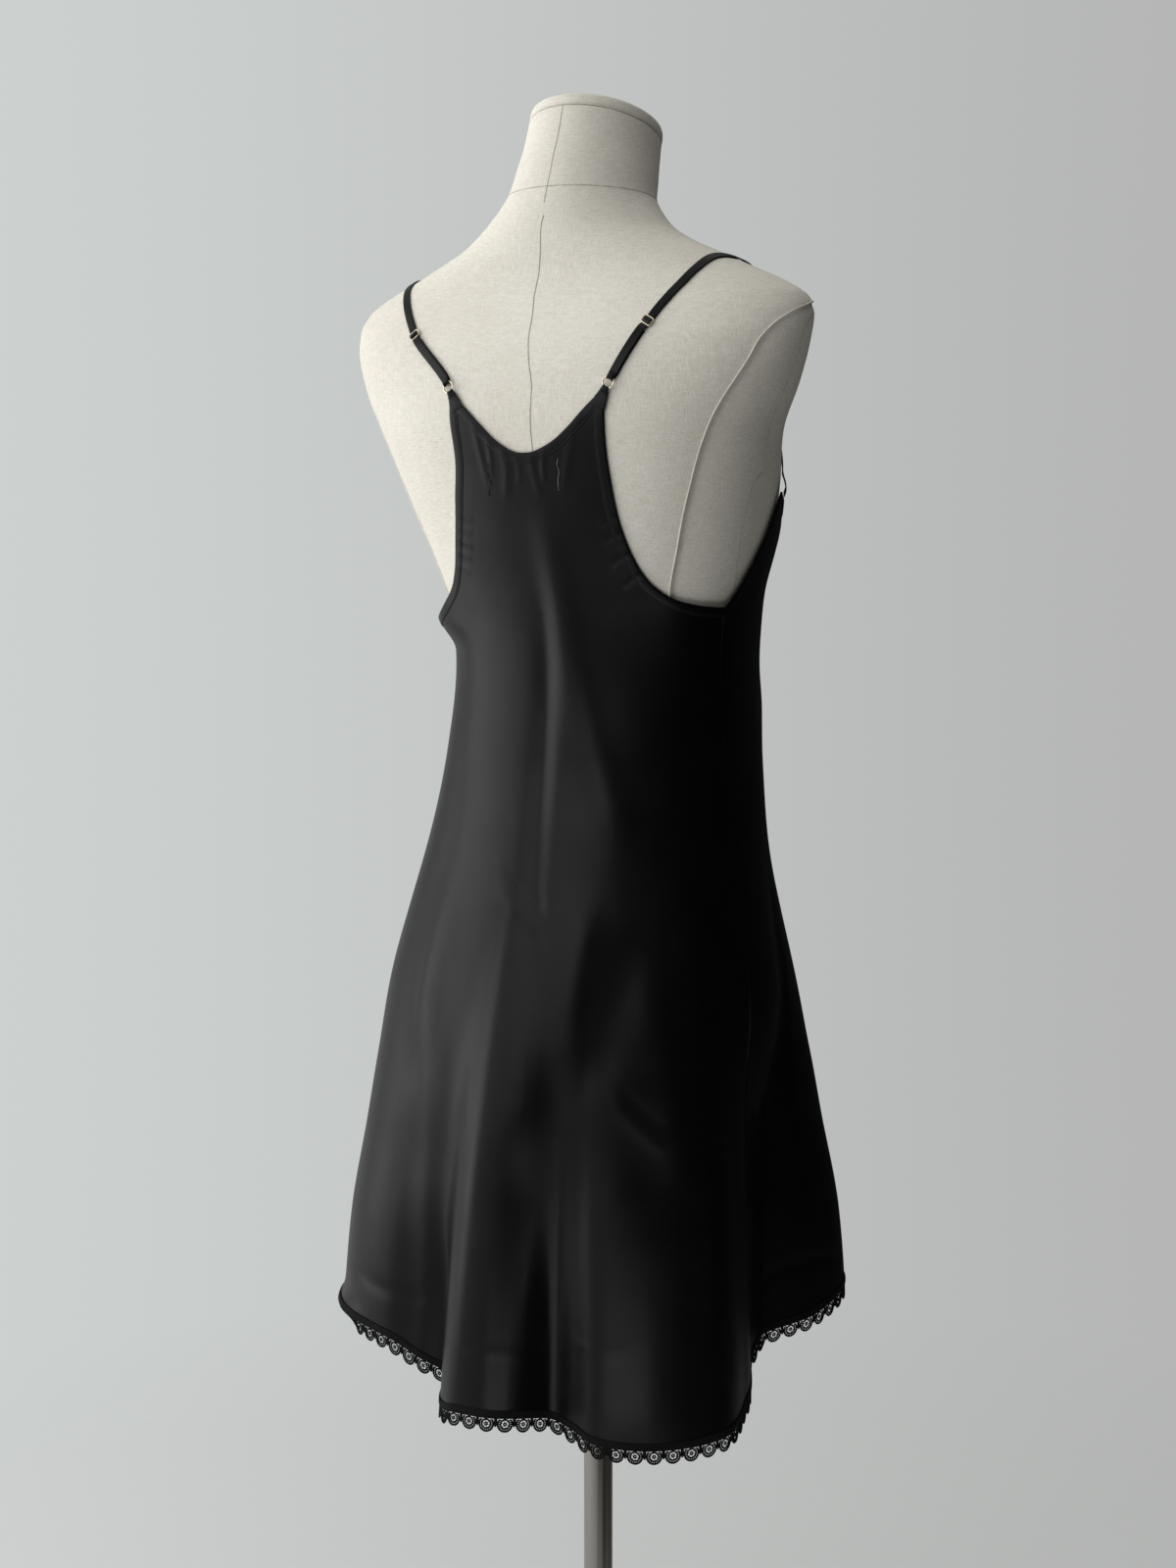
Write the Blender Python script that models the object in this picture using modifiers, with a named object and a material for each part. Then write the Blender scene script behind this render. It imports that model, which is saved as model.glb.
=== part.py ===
"""Slip dress with a racer back and a scalloped lace hem, resting on a limbless dress form.

Metres, +Z up. The front of the dress faces -Y and the wearer's left is +X. The origin is the
centre of the stand's underside, and the pole runs up the Z axis. An angle round the body is
counted from the centre back towards the wearer's right, so the right side seam is at 80 degrees,
the centre front at 180 and the left side seam at -90 or 270.
"""
import math

import bpy
import bmesh
import numpy as np
from mathutils import Matrix, Vector
from mathutils.bvhtree import BVHTree

# ------------------------------------------------------------------ cloth sizes
SATIN = 0.0012           # wall of the two panels
BINDING = 0.0010         # wall of the folded bias binding
BINDING_WIDTH = 0.0080
LACE = 0.0010
SEAM_GAP = 0.0003        # between two pieces that are sewn together
EDGE_GAP = 0.0005        # between two curved edges that are sewn together
LIE_GAP = 0.0005         # between a piece and the curved cloth it lies on
REST_GAP = 0.0023        # between the form and the cloth that rests on it
BLEND = 0.004            # how softly the cloth leaves the form

STRAP = 0.0010           # wall of a shoulder strap and of a tab
STRAP_WIDTH = 0.0073
STRAP_REST = 0.0008      # between the form and a strap
STRAP_STAND = 0.0024     # more than that at its front end, where it bridges the chest's hollow
STRAP_BRIDGE = 0.100     # length over which it settles onto the form

# ------------------------------------------------------------------ hem and lace sizes
SCALLOP_PITCH = 0.0150
LACE_DROP = 0.0120       # from the satin edge to a scallop's tip
NOTCH_DROP = 0.0078      # from the satin edge to the notch between two scallops
SHOULDER_DROP = 0.0110   # from the satin edge to a scallop's rounded shoulder
SHOULDER_SHARE = 0.20    # how far across its scallop that shoulder is
WHEEL_DROP = 0.0060      # from the satin edge to the centre of an open wheel
WHEEL_RADIUS = 0.00385

# ------------------------------------------------------------------ fittings
RING_RADIUS = 0.0045     # to the middle of the wire
RING_WIRE = 0.00065      # wire radius
RING_LIFT = STRAP_REST + STRAP + SEAM_GAP + RING_WIRE
LOOP_WIDTH = 0.0054      # a strap or tab gathers to this where it turns round a ring
LOOP_RADIUS = 0.0012    # inside of that turn
SLIDER_LENGTH = 0.0074   # along the strap
SLIDER_WIDTH = 0.0098
SLIDER_BAR = 0.0009      # width and thickness of its bars
SLIDER_LIFT = STRAP_REST + STRAP + SEAM_GAP + 0.0001
DOUBLED_LIFT = STRAP_REST + STRAP + SEAM_GAP
TAB_LENGTH = 0.0175
TAB_WIDTH = 0.0078

# ------------------------------------------------------------------ stand
BASE_RADIUS = 0.170
BASE_THICKNESS = 0.008
BOSS_RADIUS = 0.024
BOSS_HEIGHT = 0.045
POLE_RADIUS = 0.0123
SOCKET_RADIUS = 0.030
SOCKET_HEIGHT = 0.030
FORM_BOTTOM = 0.665
NECK_CAP = 0.011

# ------------------------------------------------------------------ mesh counts
FORM_SIDES = 36
PANEL_COLUMNS = 28
SKIRT_ROWS = 12
ARMHOLE_ROWS = 9

GROUP = "slip dress on a dress form"


class Table:
    """Rows of named columns, read smoothly against the first column."""

    def __init__(self, columns, rows):
        values = np.array(rows, dtype=float)
        self.places = values[:, 0]
        self.curves = {}
        for index, name in enumerate(columns[1:], start=1):
            heights = values[:, index]
            self.curves[name] = (heights, self.slopes(heights))

    def slopes(self, heights):
        """Slopes of a curve that never overshoots its rows."""
        steps = np.diff(self.places)
        rises = np.diff(heights) / steps
        slopes = np.zeros(len(heights))
        for i in range(1, len(heights) - 1):
            if rises[i - 1] * rises[i] > 0:
                before = 2 * steps[i] + steps[i - 1]
                after = steps[i] + 2 * steps[i - 1]
                slopes[i] = (before + after) / (before / rises[i - 1] + after / rises[i])
        slopes[0], slopes[-1] = rises[0], rises[-1]
        return slopes

    def at(self, name, place):
        heights, slopes = self.curves[name]
        place = min(max(place, self.places[0]), self.places[-1])
        i = int(np.clip(np.searchsorted(self.places, place) - 1, 0, len(self.places) - 2))
        step = self.places[i + 1] - self.places[i]
        t = (place - self.places[i]) / step
        return float(heights[i] * (1 + 2 * t) * (1 - t) ** 2 + heights[i + 1] * (3 - 2 * t) * t * t
                     + step * (slopes[i] * t * (1 - t) ** 2 - slopes[i + 1] * (1 - t) * t * t))


# ------------------------------------------------------------------ shape tables
# The middle of each level section.
SPINE = Table(("height", "centre_x", "centre_y"), (
    (0.400, 0.000, 0.000),
    (0.800, 0.000, 0.000),
    (0.950, -0.002, 0.000),
    (1.050, -0.002, 0.002),
    (1.120, 0.000, 0.006),
    (1.180, 0.004, 0.013),
    (1.230, 0.006, 0.022),
    (1.290, 0.002, 0.032),
    (1.330, -0.003, 0.036),
    (1.365, -0.003, 0.036),
    (1.390, 0.001, 0.033),
    (1.420, 0.000, 0.026),
))

# Level sections of the torso: half widths to the side, front and back.
FORM_COLUMNS = ("height", "half_width", "front", "back", "squareness")
FORM = Table(FORM_COLUMNS, (
    (0.665, 0.139, 0.096, 0.097, 2.2),
    (0.700, 0.148, 0.104, 0.106, 2.2),
    (0.765, 0.156, 0.107, 0.111, 2.2),
    (0.830, 0.147, 0.104, 0.105, 2.2),
    (0.900, 0.131, 0.101, 0.093, 2.2),
    (0.970, 0.114, 0.093, 0.079, 2.2),
    (1.005, 0.111, 0.092, 0.076, 2.2),
    (1.050, 0.117, 0.104, 0.079, 2.2),
    (1.100, 0.132, 0.126, 0.086, 2.3),
    (1.150, 0.149, 0.143, 0.092, 2.3),
    (1.190, 0.163, 0.130, 0.094, 2.3),
    (1.230, 0.176, 0.100, 0.092, 2.4),
    (1.265, 0.193, 0.088, 0.084, 2.4),
    (1.295, 0.203, 0.074, 0.073, 2.4),
    (1.313, 0.206, 0.064, 0.063, 2.3),
    (1.328, 0.198, 0.057, 0.056, 2.3),
    (1.339, 0.181, 0.052, 0.052, 2.3),
    (1.351, 0.154, 0.050, 0.050, 2.3),
    (1.363, 0.127, 0.049, 0.051, 2.3),
    (1.375, 0.101, 0.050, 0.053, 2.2),
    (1.388, 0.082, 0.052, 0.055, 2.1),
    (1.402, 0.069, 0.054, 0.056, 2.0),
))

# The neck's sections, each tilted so that its front is lower than its back.
NECK_COLUMNS = ("height", "radius", "depth", "centre_y", "tilt")
NECK = Table(NECK_COLUMNS, (
    (1.402, 0.0690, 0.055, 0.031, 0.0),
    (1.414, 0.0610, 0.055, 0.026, 5.0),
    (1.430, 0.0580, 0.055, 0.019, 10.0),
    (1.447, 0.0555, 0.054, 0.012, 15.0),
    (1.466, 0.0540, 0.054, 0.006, 18.0),
))

# How the cloth would hang free of the form.
DRAPE_COLUMNS = ("height", "half_width", "front", "back", "squareness")
DRAPE = Table(DRAPE_COLUMNS, (
    (0.420, 0.191, 0.185, 0.180, 2.0),
    (0.570, 0.184, 0.177, 0.165, 2.0),
    (0.640, 0.175, 0.168, 0.157, 2.0),
    (0.710, 0.166, 0.156, 0.147, 2.1),
    (0.770, 0.162, 0.145, 0.136, 2.1),
    (0.830, 0.150, 0.134, 0.122, 2.2),
    (0.900, 0.138, 0.124, 0.104, 2.2),
    (0.970, 0.129, 0.128, 0.089, 2.3),
    (1.040, 0.124, 0.137, 0.083, 2.3),
    (1.100, 0.130, 0.137, 0.085, 2.3),
    (1.160, 0.138, 0.138, 0.085, 2.3),
    (1.260, 0.130, 0.090, 0.078, 2.3),
))

# The hem, a row for each ridge and valley round it: the height of the lace tips, the distance of
# the cloth from the middle, and the height where that fold fades out.
HEM_COLUMNS = ("angle", "tip_height", "radius", "fades_at")
HEM = Table(HEM_COLUMNS, (
    (-180.0, 0.500, 0.192, 0.86),
    (-160.0, 0.499, 0.174, 0.84),
    (-134.0, 0.497, 0.210, 0.94),
    (-112.0, 0.493, 0.184, 0.86),
    (-90.0, 0.487, 0.208, 0.94),
    (-68.0, 0.482, 0.220, 1.10),
    (-43.0, 0.474, 0.190, 0.90),
    (-34.0, 0.462, 0.169, 0.84),
    (-26.0, 0.4520, 0.1510, 0.80),
    (-11.0, 0.4445, 0.1910, 0.86),
    (-5.5, 0.4480, 0.1980, 0.88),
    (1.2, 0.4485, 0.1974, 0.88),
    (6.0, 0.4485, 0.1956, 0.86),
    (9.5, 0.4475, 0.1905, 0.84),
    (18.0, 0.4415, 0.1670, 0.80),
    (23.5, 0.4380, 0.1765, 0.80),
    (28.5, 0.4332, 0.1900, 0.84),
    (34.5, 0.4316, 0.1965, 0.88),
    (42.0, 0.4304, 0.2010, 0.92),
    (50.0, 0.4310, 0.2040, 0.97),
    (57.0, 0.4334, 0.2050, 1.00),
    (72.0, 0.443, 0.176, 0.97),
    (96.0, 0.459, 0.140, 0.95),
    (104.0, 0.467, 0.142, 0.95),
    (114.0, 0.479, 0.184, 0.96),
    (130.0, 0.493, 0.216, 0.97),
    (153.0, 0.498, 0.174, 0.84),
    (180.0, 0.500, 0.192, 0.86),
))

# The left underarm edge stands away from the form by this much, over this stretch.
UNDERARM_STAND = 0.012
UNDERARM_ANGLE = -74.0
UNDERARM_REACH = 30.0
UNDERARM_HEIGHTS = (1.050, 1.077)
LEFT_SEAM, RIGHT_SEAM = -90.0, 80.0

# The edges of the two panels above the side seams, from underarm (0) to strap point (1).
EDGE_COLUMNS = ("along", "angle", "height")
BACK_LEFT_EDGE = Table(EDGE_COLUMNS, (
    (0.00, -90.0, 1.0740),
    (0.14, -72.0, 1.0770),
    (0.28, -59.0, 1.0935),
    (0.42, -50.8, 1.1145),
    (0.58, -44.3, 1.1420),
    (0.72, -39.1, 1.1730),
    (0.86, -35.3, 1.2110),
    (1.00, -38.0, 1.2565),
))
BACK_RIGHT_EDGE = Table(EDGE_COLUMNS, (
    (0.00, 80.0, 1.0882),
    (0.14, 69.5, 1.0902),
    (0.28, 59.5, 1.0958),
    (0.42, 50.2, 1.1110),
    (0.58, 43.8, 1.1360),
    (0.72, 40.6, 1.1655),
    (0.86, 39.4, 1.2060),
    (1.00, 40.6, 1.2565),
))
FRONT_RIGHT_EDGE = Table(EDGE_COLUMNS, (
    (0.00, 80.0, 1.0882),
    (0.25, 86.5, 1.1040),
    (0.50, 93.0, 1.1250),
    (0.75, 99.0, 1.1490),
    (1.00, 104.5, 1.1800),
))
FRONT_LEFT_EDGE = Table(EDGE_COLUMNS, (
    (0.00, 270.0, 1.0740),
    (0.25, 266.5, 1.0910),
    (0.50, 263.0, 1.1160),
    (0.75, 259.0, 1.1460),
    (1.00, 255.5, 1.1800),
))

# The row of the panel that ends at the edge point `along` crosses the middle at this height.
BACK_MIDDLE = Table(("along", "height"), (
    (0.00, 1.030),
    (0.42, 1.086),
    (1.00, 1.209),
))
FRONT_MIDDLE = Table(("along", "height"), (
    (0.00, 1.020),
    (0.50, 1.070),
    (1.00, 1.140),
))

# How a row rises from the middle to each of its two ends, as a share of the whole rise.
SCOOP_COLUMNS = ("across", "first", "last")
BACK_SCOOP = Table(SCOOP_COLUMNS, (
    (0.0, 0.000, 0.000),
    (0.1, 0.012, 0.010),
    (0.2, 0.060, 0.050),
    (0.4, 0.235, 0.180),
    (0.6, 0.500, 0.400),
    (0.8, 0.765, 0.700),
    (1.0, 1.000, 1.000),
))
FRONT_SCOOP = Table(SCOOP_COLUMNS, (
    (0.0, 0.000, 0.000),
    (0.1, 0.020, 0.020),
    (0.2, 0.075, 0.075),
    (0.4, 0.230, 0.230),
    (0.6, 0.440, 0.440),
    (0.8, 0.700, 0.700),
    (1.0, 1.000, 1.000),
))

# The straps' routes over the shoulder: the turn goes from the front (0) over the top (90) to the
# back, about a line across the chest; the offset is the distance from the middle.
STRAP_HUB = Vector((0.0, 0.0, 1.200))
ROUTE_COLUMNS = ("turn", "offset")
LEFT_ROUTE = Table(ROUTE_COLUMNS, (
    (-10.0, 0.1590),
    (20.0, 0.1530),
    (50.0, 0.1470),
    (95.0, 0.1490),
    (112.0, 0.1440),
    (130.0, 0.1200),
    (150.0, 0.0740),
    (162.0, 0.0610),
))
RIGHT_ROUTE = Table(ROUTE_COLUMNS, (
    (-10.0, 0.1510),
    (20.0, 0.1460),
    (50.0, 0.1410),
    (95.0, 0.1440),
    (112.0, 0.1320),
    (130.0, 0.1000),
    (150.0, 0.0720),
    (162.0, 0.0590),
))
ROUTE_START, ROUTE_END = -45.0, 164.0
SLIDER_TURN = 131.5
RING_TURN = 150.5
STRAP_START = 1.1822     # height of a strap's front end, at the tip of the front panel


# ------------------------------------------------------------------ surfaces
def section_radius(table, angle, height):
    """Distance from the middle to a level section's edge, at an angle from the centre back."""
    turn = math.radians(angle)
    depth = table.at("back" if math.cos(turn) > 0 else "front", height)
    power = table.at("squareness", height)
    sideways = abs(math.sin(turn)) / table.at("half_width", height)
    lengthways = abs(math.cos(turn)) / depth
    return (sideways ** power + lengthways ** power) ** (-1 / power)


def smooth_step(value):
    value = min(max(value, 0.0), 1.0)
    return value * value * (3 - 2 * value)


def whole_turn(angle):
    """The same direction, from -180 to 180."""
    return (angle + 180.0) % 360.0 - 180.0


def fold_depth(angle, height):
    """How far the folds move free cloth out; they are deepest at the hem."""
    angle = whole_turn(angle)
    tip = HEM.at("tip_height", angle)
    fades_at = HEM.at("fades_at", angle)
    depth = HEM.at("radius", angle) - section_radius(DRAPE, angle, tip)
    depth *= smooth_step((fades_at - height) / (fades_at - tip))
    away = abs(angle - UNDERARM_ANGLE) / UNDERARM_REACH
    if away < 1:
        low, high = UNDERARM_HEIGHTS
        stand = UNDERARM_STAND * math.cos(away * math.pi / 2) ** 2
        depth += stand * smooth_step((height - low) / (high - low))
    return depth


def cloth_radius(angle, height):
    """Inner face of the cloth: free cloth with its folds, held off by the form."""
    free = section_radius(DRAPE, angle, height) + fold_depth(angle, height)
    held = section_radius(FORM, angle, max(height, FORM_BOTTOM)) + REST_GAP
    held -= 1.5 * max(FORM_BOTTOM - height, 0.0)
    return (free + held + math.hypot(free - held, BLEND)) / 2


def middle_at(height):
    return Vector((SPINE.at("centre_x", height), SPINE.at("centre_y", height), height))


def around(radius, angle, height):
    turn = math.radians(angle)
    return middle_at(height) + radius * Vector((-math.sin(turn), math.cos(turn), 0.0))


def cloth_point(angle, height, lift=0.0):
    """Point of the cloth's inner face, moved out along the face's normal by lift."""
    place = around(cloth_radius(angle, height), angle, height)
    if lift == 0.0:
        return place
    return place + lift * cloth_normal(angle, height)


def cloth_normal(angle, height):
    turn_step, height_step = 0.5, 0.002
    across = (around(cloth_radius(angle + turn_step, height), angle + turn_step, height)
              - around(cloth_radius(angle - turn_step, height), angle - turn_step, height))
    upward = (around(cloth_radius(angle, height + height_step), angle, height + height_step)
              - around(cloth_radius(angle, height - height_step), angle, height - height_step))
    return across.cross(upward).normalized()


def onto_cloth(place, near=0.0):
    """Angle and height of the cloth under a point, the angle within half a turn of near."""
    aside = place - middle_at(place.z)
    angle = math.degrees(math.atan2(-aside.x, aside.y))
    return near + whole_turn(angle - near), place.z


# ------------------------------------------------------------------ panels
def hem_height(angle):
    """Height of the satin's lower edge."""
    return HEM.at("tip_height", whole_turn(angle)) + LACE_DROP


class Panel:
    """The back or front of the dress; `across` runs from -1 to 1 and `up` from 0 to 1."""
    SEAM_PART = SKIRT_ROWS / (SKIRT_ROWS + ARMHOLE_ROWS)

    def __init__(self, first_edge, last_edge, middle, scoop):
        self.first_edge = first_edge
        self.last_edge = last_edge
        self.middle = middle
        self.scoop = scoop

    def row(self, across, along):
        """Angle and height on the row that ends at the armhole edges' point `along`."""
        first, last = (edge.at("angle", along) for edge in (self.first_edge, self.last_edge))
        edge, end = (self.first_edge, "first") if across < 0 else (self.last_edge, "last")
        middle = self.middle.at("height", along)
        rise = self.scoop.at(end, abs(across))
        height = middle + (edge.at("height", along) - middle) * rise
        return first + (last - first) * (across + 1) / 2, height

    def place(self, across, up):
        if up >= self.SEAM_PART:
            return self.row(across, (up - self.SEAM_PART) / (1 - self.SEAM_PART))
        angle, height = self.row(across, 0.0)
        low = hem_height(angle)
        share = 1 - (1 - up / self.SEAM_PART) ** 1.35
        return angle, low + (height - low) * share

    def point(self, across, up, lift=0.0):
        angle, height = self.place(across, up)
        return cloth_point(angle, height, lift)


BACK = Panel(BACK_LEFT_EDGE, BACK_RIGHT_EDGE, BACK_MIDDLE, BACK_SCOOP)
FRONT = Panel(FRONT_RIGHT_EDGE, FRONT_LEFT_EDGE, FRONT_MIDDLE, FRONT_SCOOP)


# ------------------------------------------------------------------ materials
def material(name, colour, roughness, metallic=0.0):
    made = bpy.data.materials.new(name)
    made.use_nodes = True
    shader = made.node_tree.nodes["Principled BSDF"]
    shader.inputs["Base Color"].default_value = (*colour, 1.0)
    shader.inputs["Roughness"].default_value = roughness
    shader.inputs["Metallic"].default_value = metallic
    made.diffuse_color = (*colour, 1.0)
    return made


# ------------------------------------------------------------------ building blocks
def add_object(name, mesh, finish):
    mesh.materials.append(finish)
    made = bpy.data.objects.new(name, mesh)
    bpy.data.collections[GROUP].objects.link(made)
    return made


def mesh_from_bmesh(name, shape):
    mesh = bpy.data.meshes.new(name)
    shape.to_mesh(mesh)
    shape.free()
    mesh.shade_smooth()
    mesh.set_sharp_from_angle(angle=math.radians(40))
    return mesh


def sheet(name, rows, thickness, finish):
    """A wall on an open grid of points; its first face looks away from the pole."""
    shape = bmesh.new()
    made_rows = [[shape.verts.new(point) for point in row] for row in rows]
    for low, high in zip(made_rows, made_rows[1:]):
        for i in range(len(low) - 1):
            shape.faces.new((low[i], low[i + 1], high[i + 1], high[i]))
    shape.normal_update()
    shape.faces.ensure_lookup_table()
    first = shape.faces[0]
    middle = first.calc_center_median()
    if first.normal.dot(Vector((middle.x, middle.y, 0.0))) < 0:
        bmesh.ops.reverse_faces(shape, faces=shape.faces)
    return thicken(add_object(name, mesh_from_bmesh(name, shape), finish), thickness)


def thicken(made, thickness):
    wall = made.modifiers.new("wall", "SOLIDIFY")
    wall.thickness = thickness
    wall.offset = 1.0
    wall.use_even_offset = True
    return made


def loft(name, rings, finish):
    """A closed body through level rings of equal counts, from bottom to top."""
    shape = bmesh.new()
    made_rings = [[shape.verts.new(point) for point in ring] for ring in rings]
    for low, high in zip(made_rings, made_rings[1:]):
        for i in range(len(low)):
            j = (i + 1) % len(low)
            shape.faces.new((low[i], low[j], high[j], high[i]))
    shape.faces.new(made_rings[0][::-1])
    shape.faces.new(made_rings[-1])
    bmesh.ops.recalc_face_normals(shape, faces=shape.faces)
    return add_object(name, mesh_from_bmesh(name, shape), finish)


def cylinder(name, radius, low, high, sides, finish):
    shape = bmesh.new()
    bmesh.ops.create_cone(shape, cap_ends=True, segments=sides, radius1=radius, radius2=radius,
                          depth=high - low, matrix=Matrix.Translation((0, 0, (low + high) / 2)))
    return add_object(name, mesh_from_bmesh(name, shape), finish)


# ------------------------------------------------------------------ dress form
def form_section(height):
    """A level ring of the torso, its points closest together where it turns sharply."""
    half_width = FORM.at("half_width", height)
    power = FORM.at("squareness", height)
    ring = []
    for i in range(FORM_SIDES):
        turn = 2 * math.pi * i / FORM_SIDES
        side, length = math.cos(turn), math.sin(turn)
        depth = FORM.at("back" if length > 0 else "front", height)
        x = half_width * math.copysign(abs(side) ** (2 / power), side)
        y = depth * math.copysign(abs(length) ** (2 / power), length)
        ring.append(middle_at(height) + Vector((x, y, 0.0)))
    return ring


def neck_section(height, lift=0.0, shrink=1.0):
    """A ring of the neck; lift moves it along its own tilted axis."""
    tilt = Matrix.Rotation(math.radians(NECK.at("tilt", height)), 3, "X")
    centre = Vector((SPINE.at("centre_x", height), NECK.at("centre_y", height), height))
    ring = []
    for i in range(FORM_SIDES):
        turn = 2 * math.pi * i / FORM_SIDES
        flat = Vector((NECK.at("radius", height) * shrink * math.cos(turn),
                       NECK.at("depth", height) * shrink * math.sin(turn), lift))
        ring.append(centre + tilt @ flat)
    return ring


def add_form(linen, wood, steel):
    heights = [0.669, 0.695, 0.730, 0.765, 0.805, 0.845, 0.885, 0.925, 0.965, 1.005, 1.045, 1.085,
               1.125, 1.165, 1.200, 1.235, 1.265, 1.290, 1.307, 1.320, 1.331, 1.341, 1.351, 1.361,
               1.372, 1.386, 1.402]
    bottom = [Vector((point.x * 0.97, point.y * 0.97, FORM_BOTTOM))
              for point in form_section(FORM_BOTTOM)]
    rings = [bottom] + [form_section(height) for height in heights]
    neck_top = NECK.places[-1]
    rings += [neck_section(height) for height in (1.412, 1.424, 1.442, neck_top)]
    loft("form_torso", rings, linen)

    cap = [neck_section(neck_top, SEAM_GAP), neck_section(neck_top, NECK_CAP - 0.002),
           neck_section(neck_top, NECK_CAP - 0.0006, 0.98), neck_section(neck_top, NECK_CAP, 0.94)]
    loft("form_neck_cap", cap, linen)

    socket_low = FORM_BOTTOM - SOCKET_HEIGHT - SEAM_GAP
    cylinder("form_socket", SOCKET_RADIUS, socket_low, FORM_BOTTOM - SEAM_GAP, 40, wood)
    boss_top = BASE_THICKNESS + BOSS_HEIGHT
    cylinder("form_pole", POLE_RADIUS, boss_top + SEAM_GAP, socket_low - SEAM_GAP, 32, steel)
    cylinder("form_boss", BOSS_RADIUS, BASE_THICKNESS + SEAM_GAP, boss_top, 40, steel)
    base = cylinder("form_base", BASE_RADIUS, 0.0, BASE_THICKNESS, 56, steel)
    edge = base.modifiers.new("edge", "BEVEL")
    edge.width = 0.002
    edge.segments = 1
    edge.limit_method = "ANGLE"


# ------------------------------------------------------------------ dress
def seam_trim(panel, count):
    """Steps across a panel that leave a gap at both side seams."""
    half_seam = EDGE_GAP / 2
    width = sum((panel.point(a / 8, 0.3) - panel.point((a - 1) / 8, 0.3)).length
                for a in range(-7, 9)) / 2
    reach = 1 - 1.2 * half_seam / width
    return [reach * (2 * i / count - 1) for i in range(count + 1)]


def add_panel(name, panel, satin):
    rows = SKIRT_ROWS + ARMHOLE_ROWS
    steps = seam_trim(panel, PANEL_COLUMNS)
    grid = [[panel.point(across, j / rows) for across in steps] for j in range(rows + 1)]
    return sheet(name, grid, SATIN, satin)


def lay_on(pieces, places, normals):
    """A grid of points on the cloth, moved out until it clears the pieces under it."""
    context = bpy.context.evaluated_depsgraph_get()
    trees = [BVHTree.FromObject(piece, context) for piece in pieces]
    lifts = [[SATIN + LIE_GAP] * len(row) for row in places]

    def corner(i, j):
        return places[i][j] + normals[i][j] * lifts[i][j]

    def shortage(place, normal):
        missing = 0.0
        for tree in trees:
            near, _, _, distance = tree.find_nearest(place, 0.01)
            if near is not None:
                outside = (place - near).dot(normal) > 0
                missing = max(missing, LIE_GAP - (distance if outside else -distance))
        return missing

    for _ in range(12):
        for i in range(len(places) - 1):
            for j in range(len(places[0]) - 1):
                corners = [(i, j), (i, j + 1), (i + 1, j), (i + 1, j + 1)]
                worst = 0.0
                for u in (0.0, 0.5, 1.0):
                    for v in (0.0, 0.25, 0.5, 0.75, 1.0):
                        shares = ((1 - v) * (1 - u), (1 - v) * u, v * (1 - u), v * u)
                        place = sum((share * corner(*at) for share, at in zip(shares, corners)),
                                    Vector())
                        worst = max(worst, shortage(place, normals[i][j]))
                for row, column in corners:
                    lifts[row][column] += 0.6 * worst
    return [[corner(i, j) for j in range(len(places[0]))] for i in range(len(places))]


def neckline_height(panel, angle):
    first, last = panel.first_edge.at("angle", 1.0), panel.last_edge.at("angle", 1.0)
    across = min(max(2 * (angle - first) / (last - first) - 1, -1.0), 1.0)
    return panel.row(across, 1.0)[1]


def armhole_stations(panel, edge, count):
    """Edge places of one panel from the side seam to just short of the strap point."""
    return [(panel, edge.at("angle", i / count), edge.at("height", i / count))
            for i in range(count)]


def add_armhole_binding(name, back_edge, front_edge, inward, pieces, satin):
    """A strip on the outside of the edge, from the back strap point under the arm to the front.

    Towards the strap points it narrows where the neckline cuts it off."""
    stations = armhole_stations(BACK, back_edge, 26)[::-1]
    stations += armhole_stations(FRONT, front_edge, 16)[1:]
    edge = [cloth_point(angle, height) for panel, angle, height in stations]
    places, normals = [], []
    for i, (panel, angle, height) in enumerate(stations):
        before, after = edge[max(i - 1, 0)], edge[min(i + 1, len(edge) - 1)]
        aside = (after - before).cross(cloth_normal(angle, height)).normalized() * inward
        width = BINDING_WIDTH
        while width > 0.001:
            inner = onto_cloth(edge[i] + aside * width, angle)
            if inner[1] < neckline_height(panel, inner[0]) - SEAM_GAP:
                break
            width -= 0.0005
        across = [onto_cloth(edge[i] + aside * width * share, angle) for share in (0.0, 1.0)]
        places.append([cloth_point(*at) for at in across])
        normals.append([cloth_normal(*at) for at in across])
    sheet(name, lay_on(pieces, places, normals), BINDING, satin)


def add_neck_binding(name, panel, piece, satin, count=30):
    """A strip on the outside of the neckline, between the two armhole bindings."""
    step = 0.01

    def reaches(across):
        """Steps across and down that cover a binding's width at a place on the neckline."""
        place = panel.point(across, 1.0)
        toward = 1 if across < 0 else -1
        along = (panel.point(across + toward * step, 1.0) - place) / step
        down = (panel.point(across, 1.0 - step) - place) / step
        slant = along.cross(down).length / (along.length * down.length)
        return BINDING_WIDTH / (along.length * slant), BINDING_WIDTH / (down.length * slant)

    end = 1 - max(reaches(-1.0)[0], reaches(1.0)[0]) * (1 + 2 * EDGE_GAP / BINDING_WIDTH)
    across = [end * (2 * i / count - 1) for i in range(count + 1)]
    spots = [[panel.place(at, 1.0 - reaches(at)[1] * share) for share in (0.0, 1.0)]
             for at in across]
    places = [[cloth_point(*spot) for spot in row] for row in spots]
    normals = [[cloth_normal(*spot) for spot in row] for row in spots]
    sheet(name, lay_on([piece], places, normals), BINDING, satin)


def hem_lengths(first, last):
    """Angles along the hem with the distance to each."""
    angles = [first + (last - first) * i / 720 for i in range(721)]
    lengths = [0.0]
    for before, after in zip(angles, angles[1:]):
        lengths.append(lengths[-1] + (cloth_point(after, hem_height(after))
                                      - cloth_point(before, hem_height(before))).length)
    return angles, lengths


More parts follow.
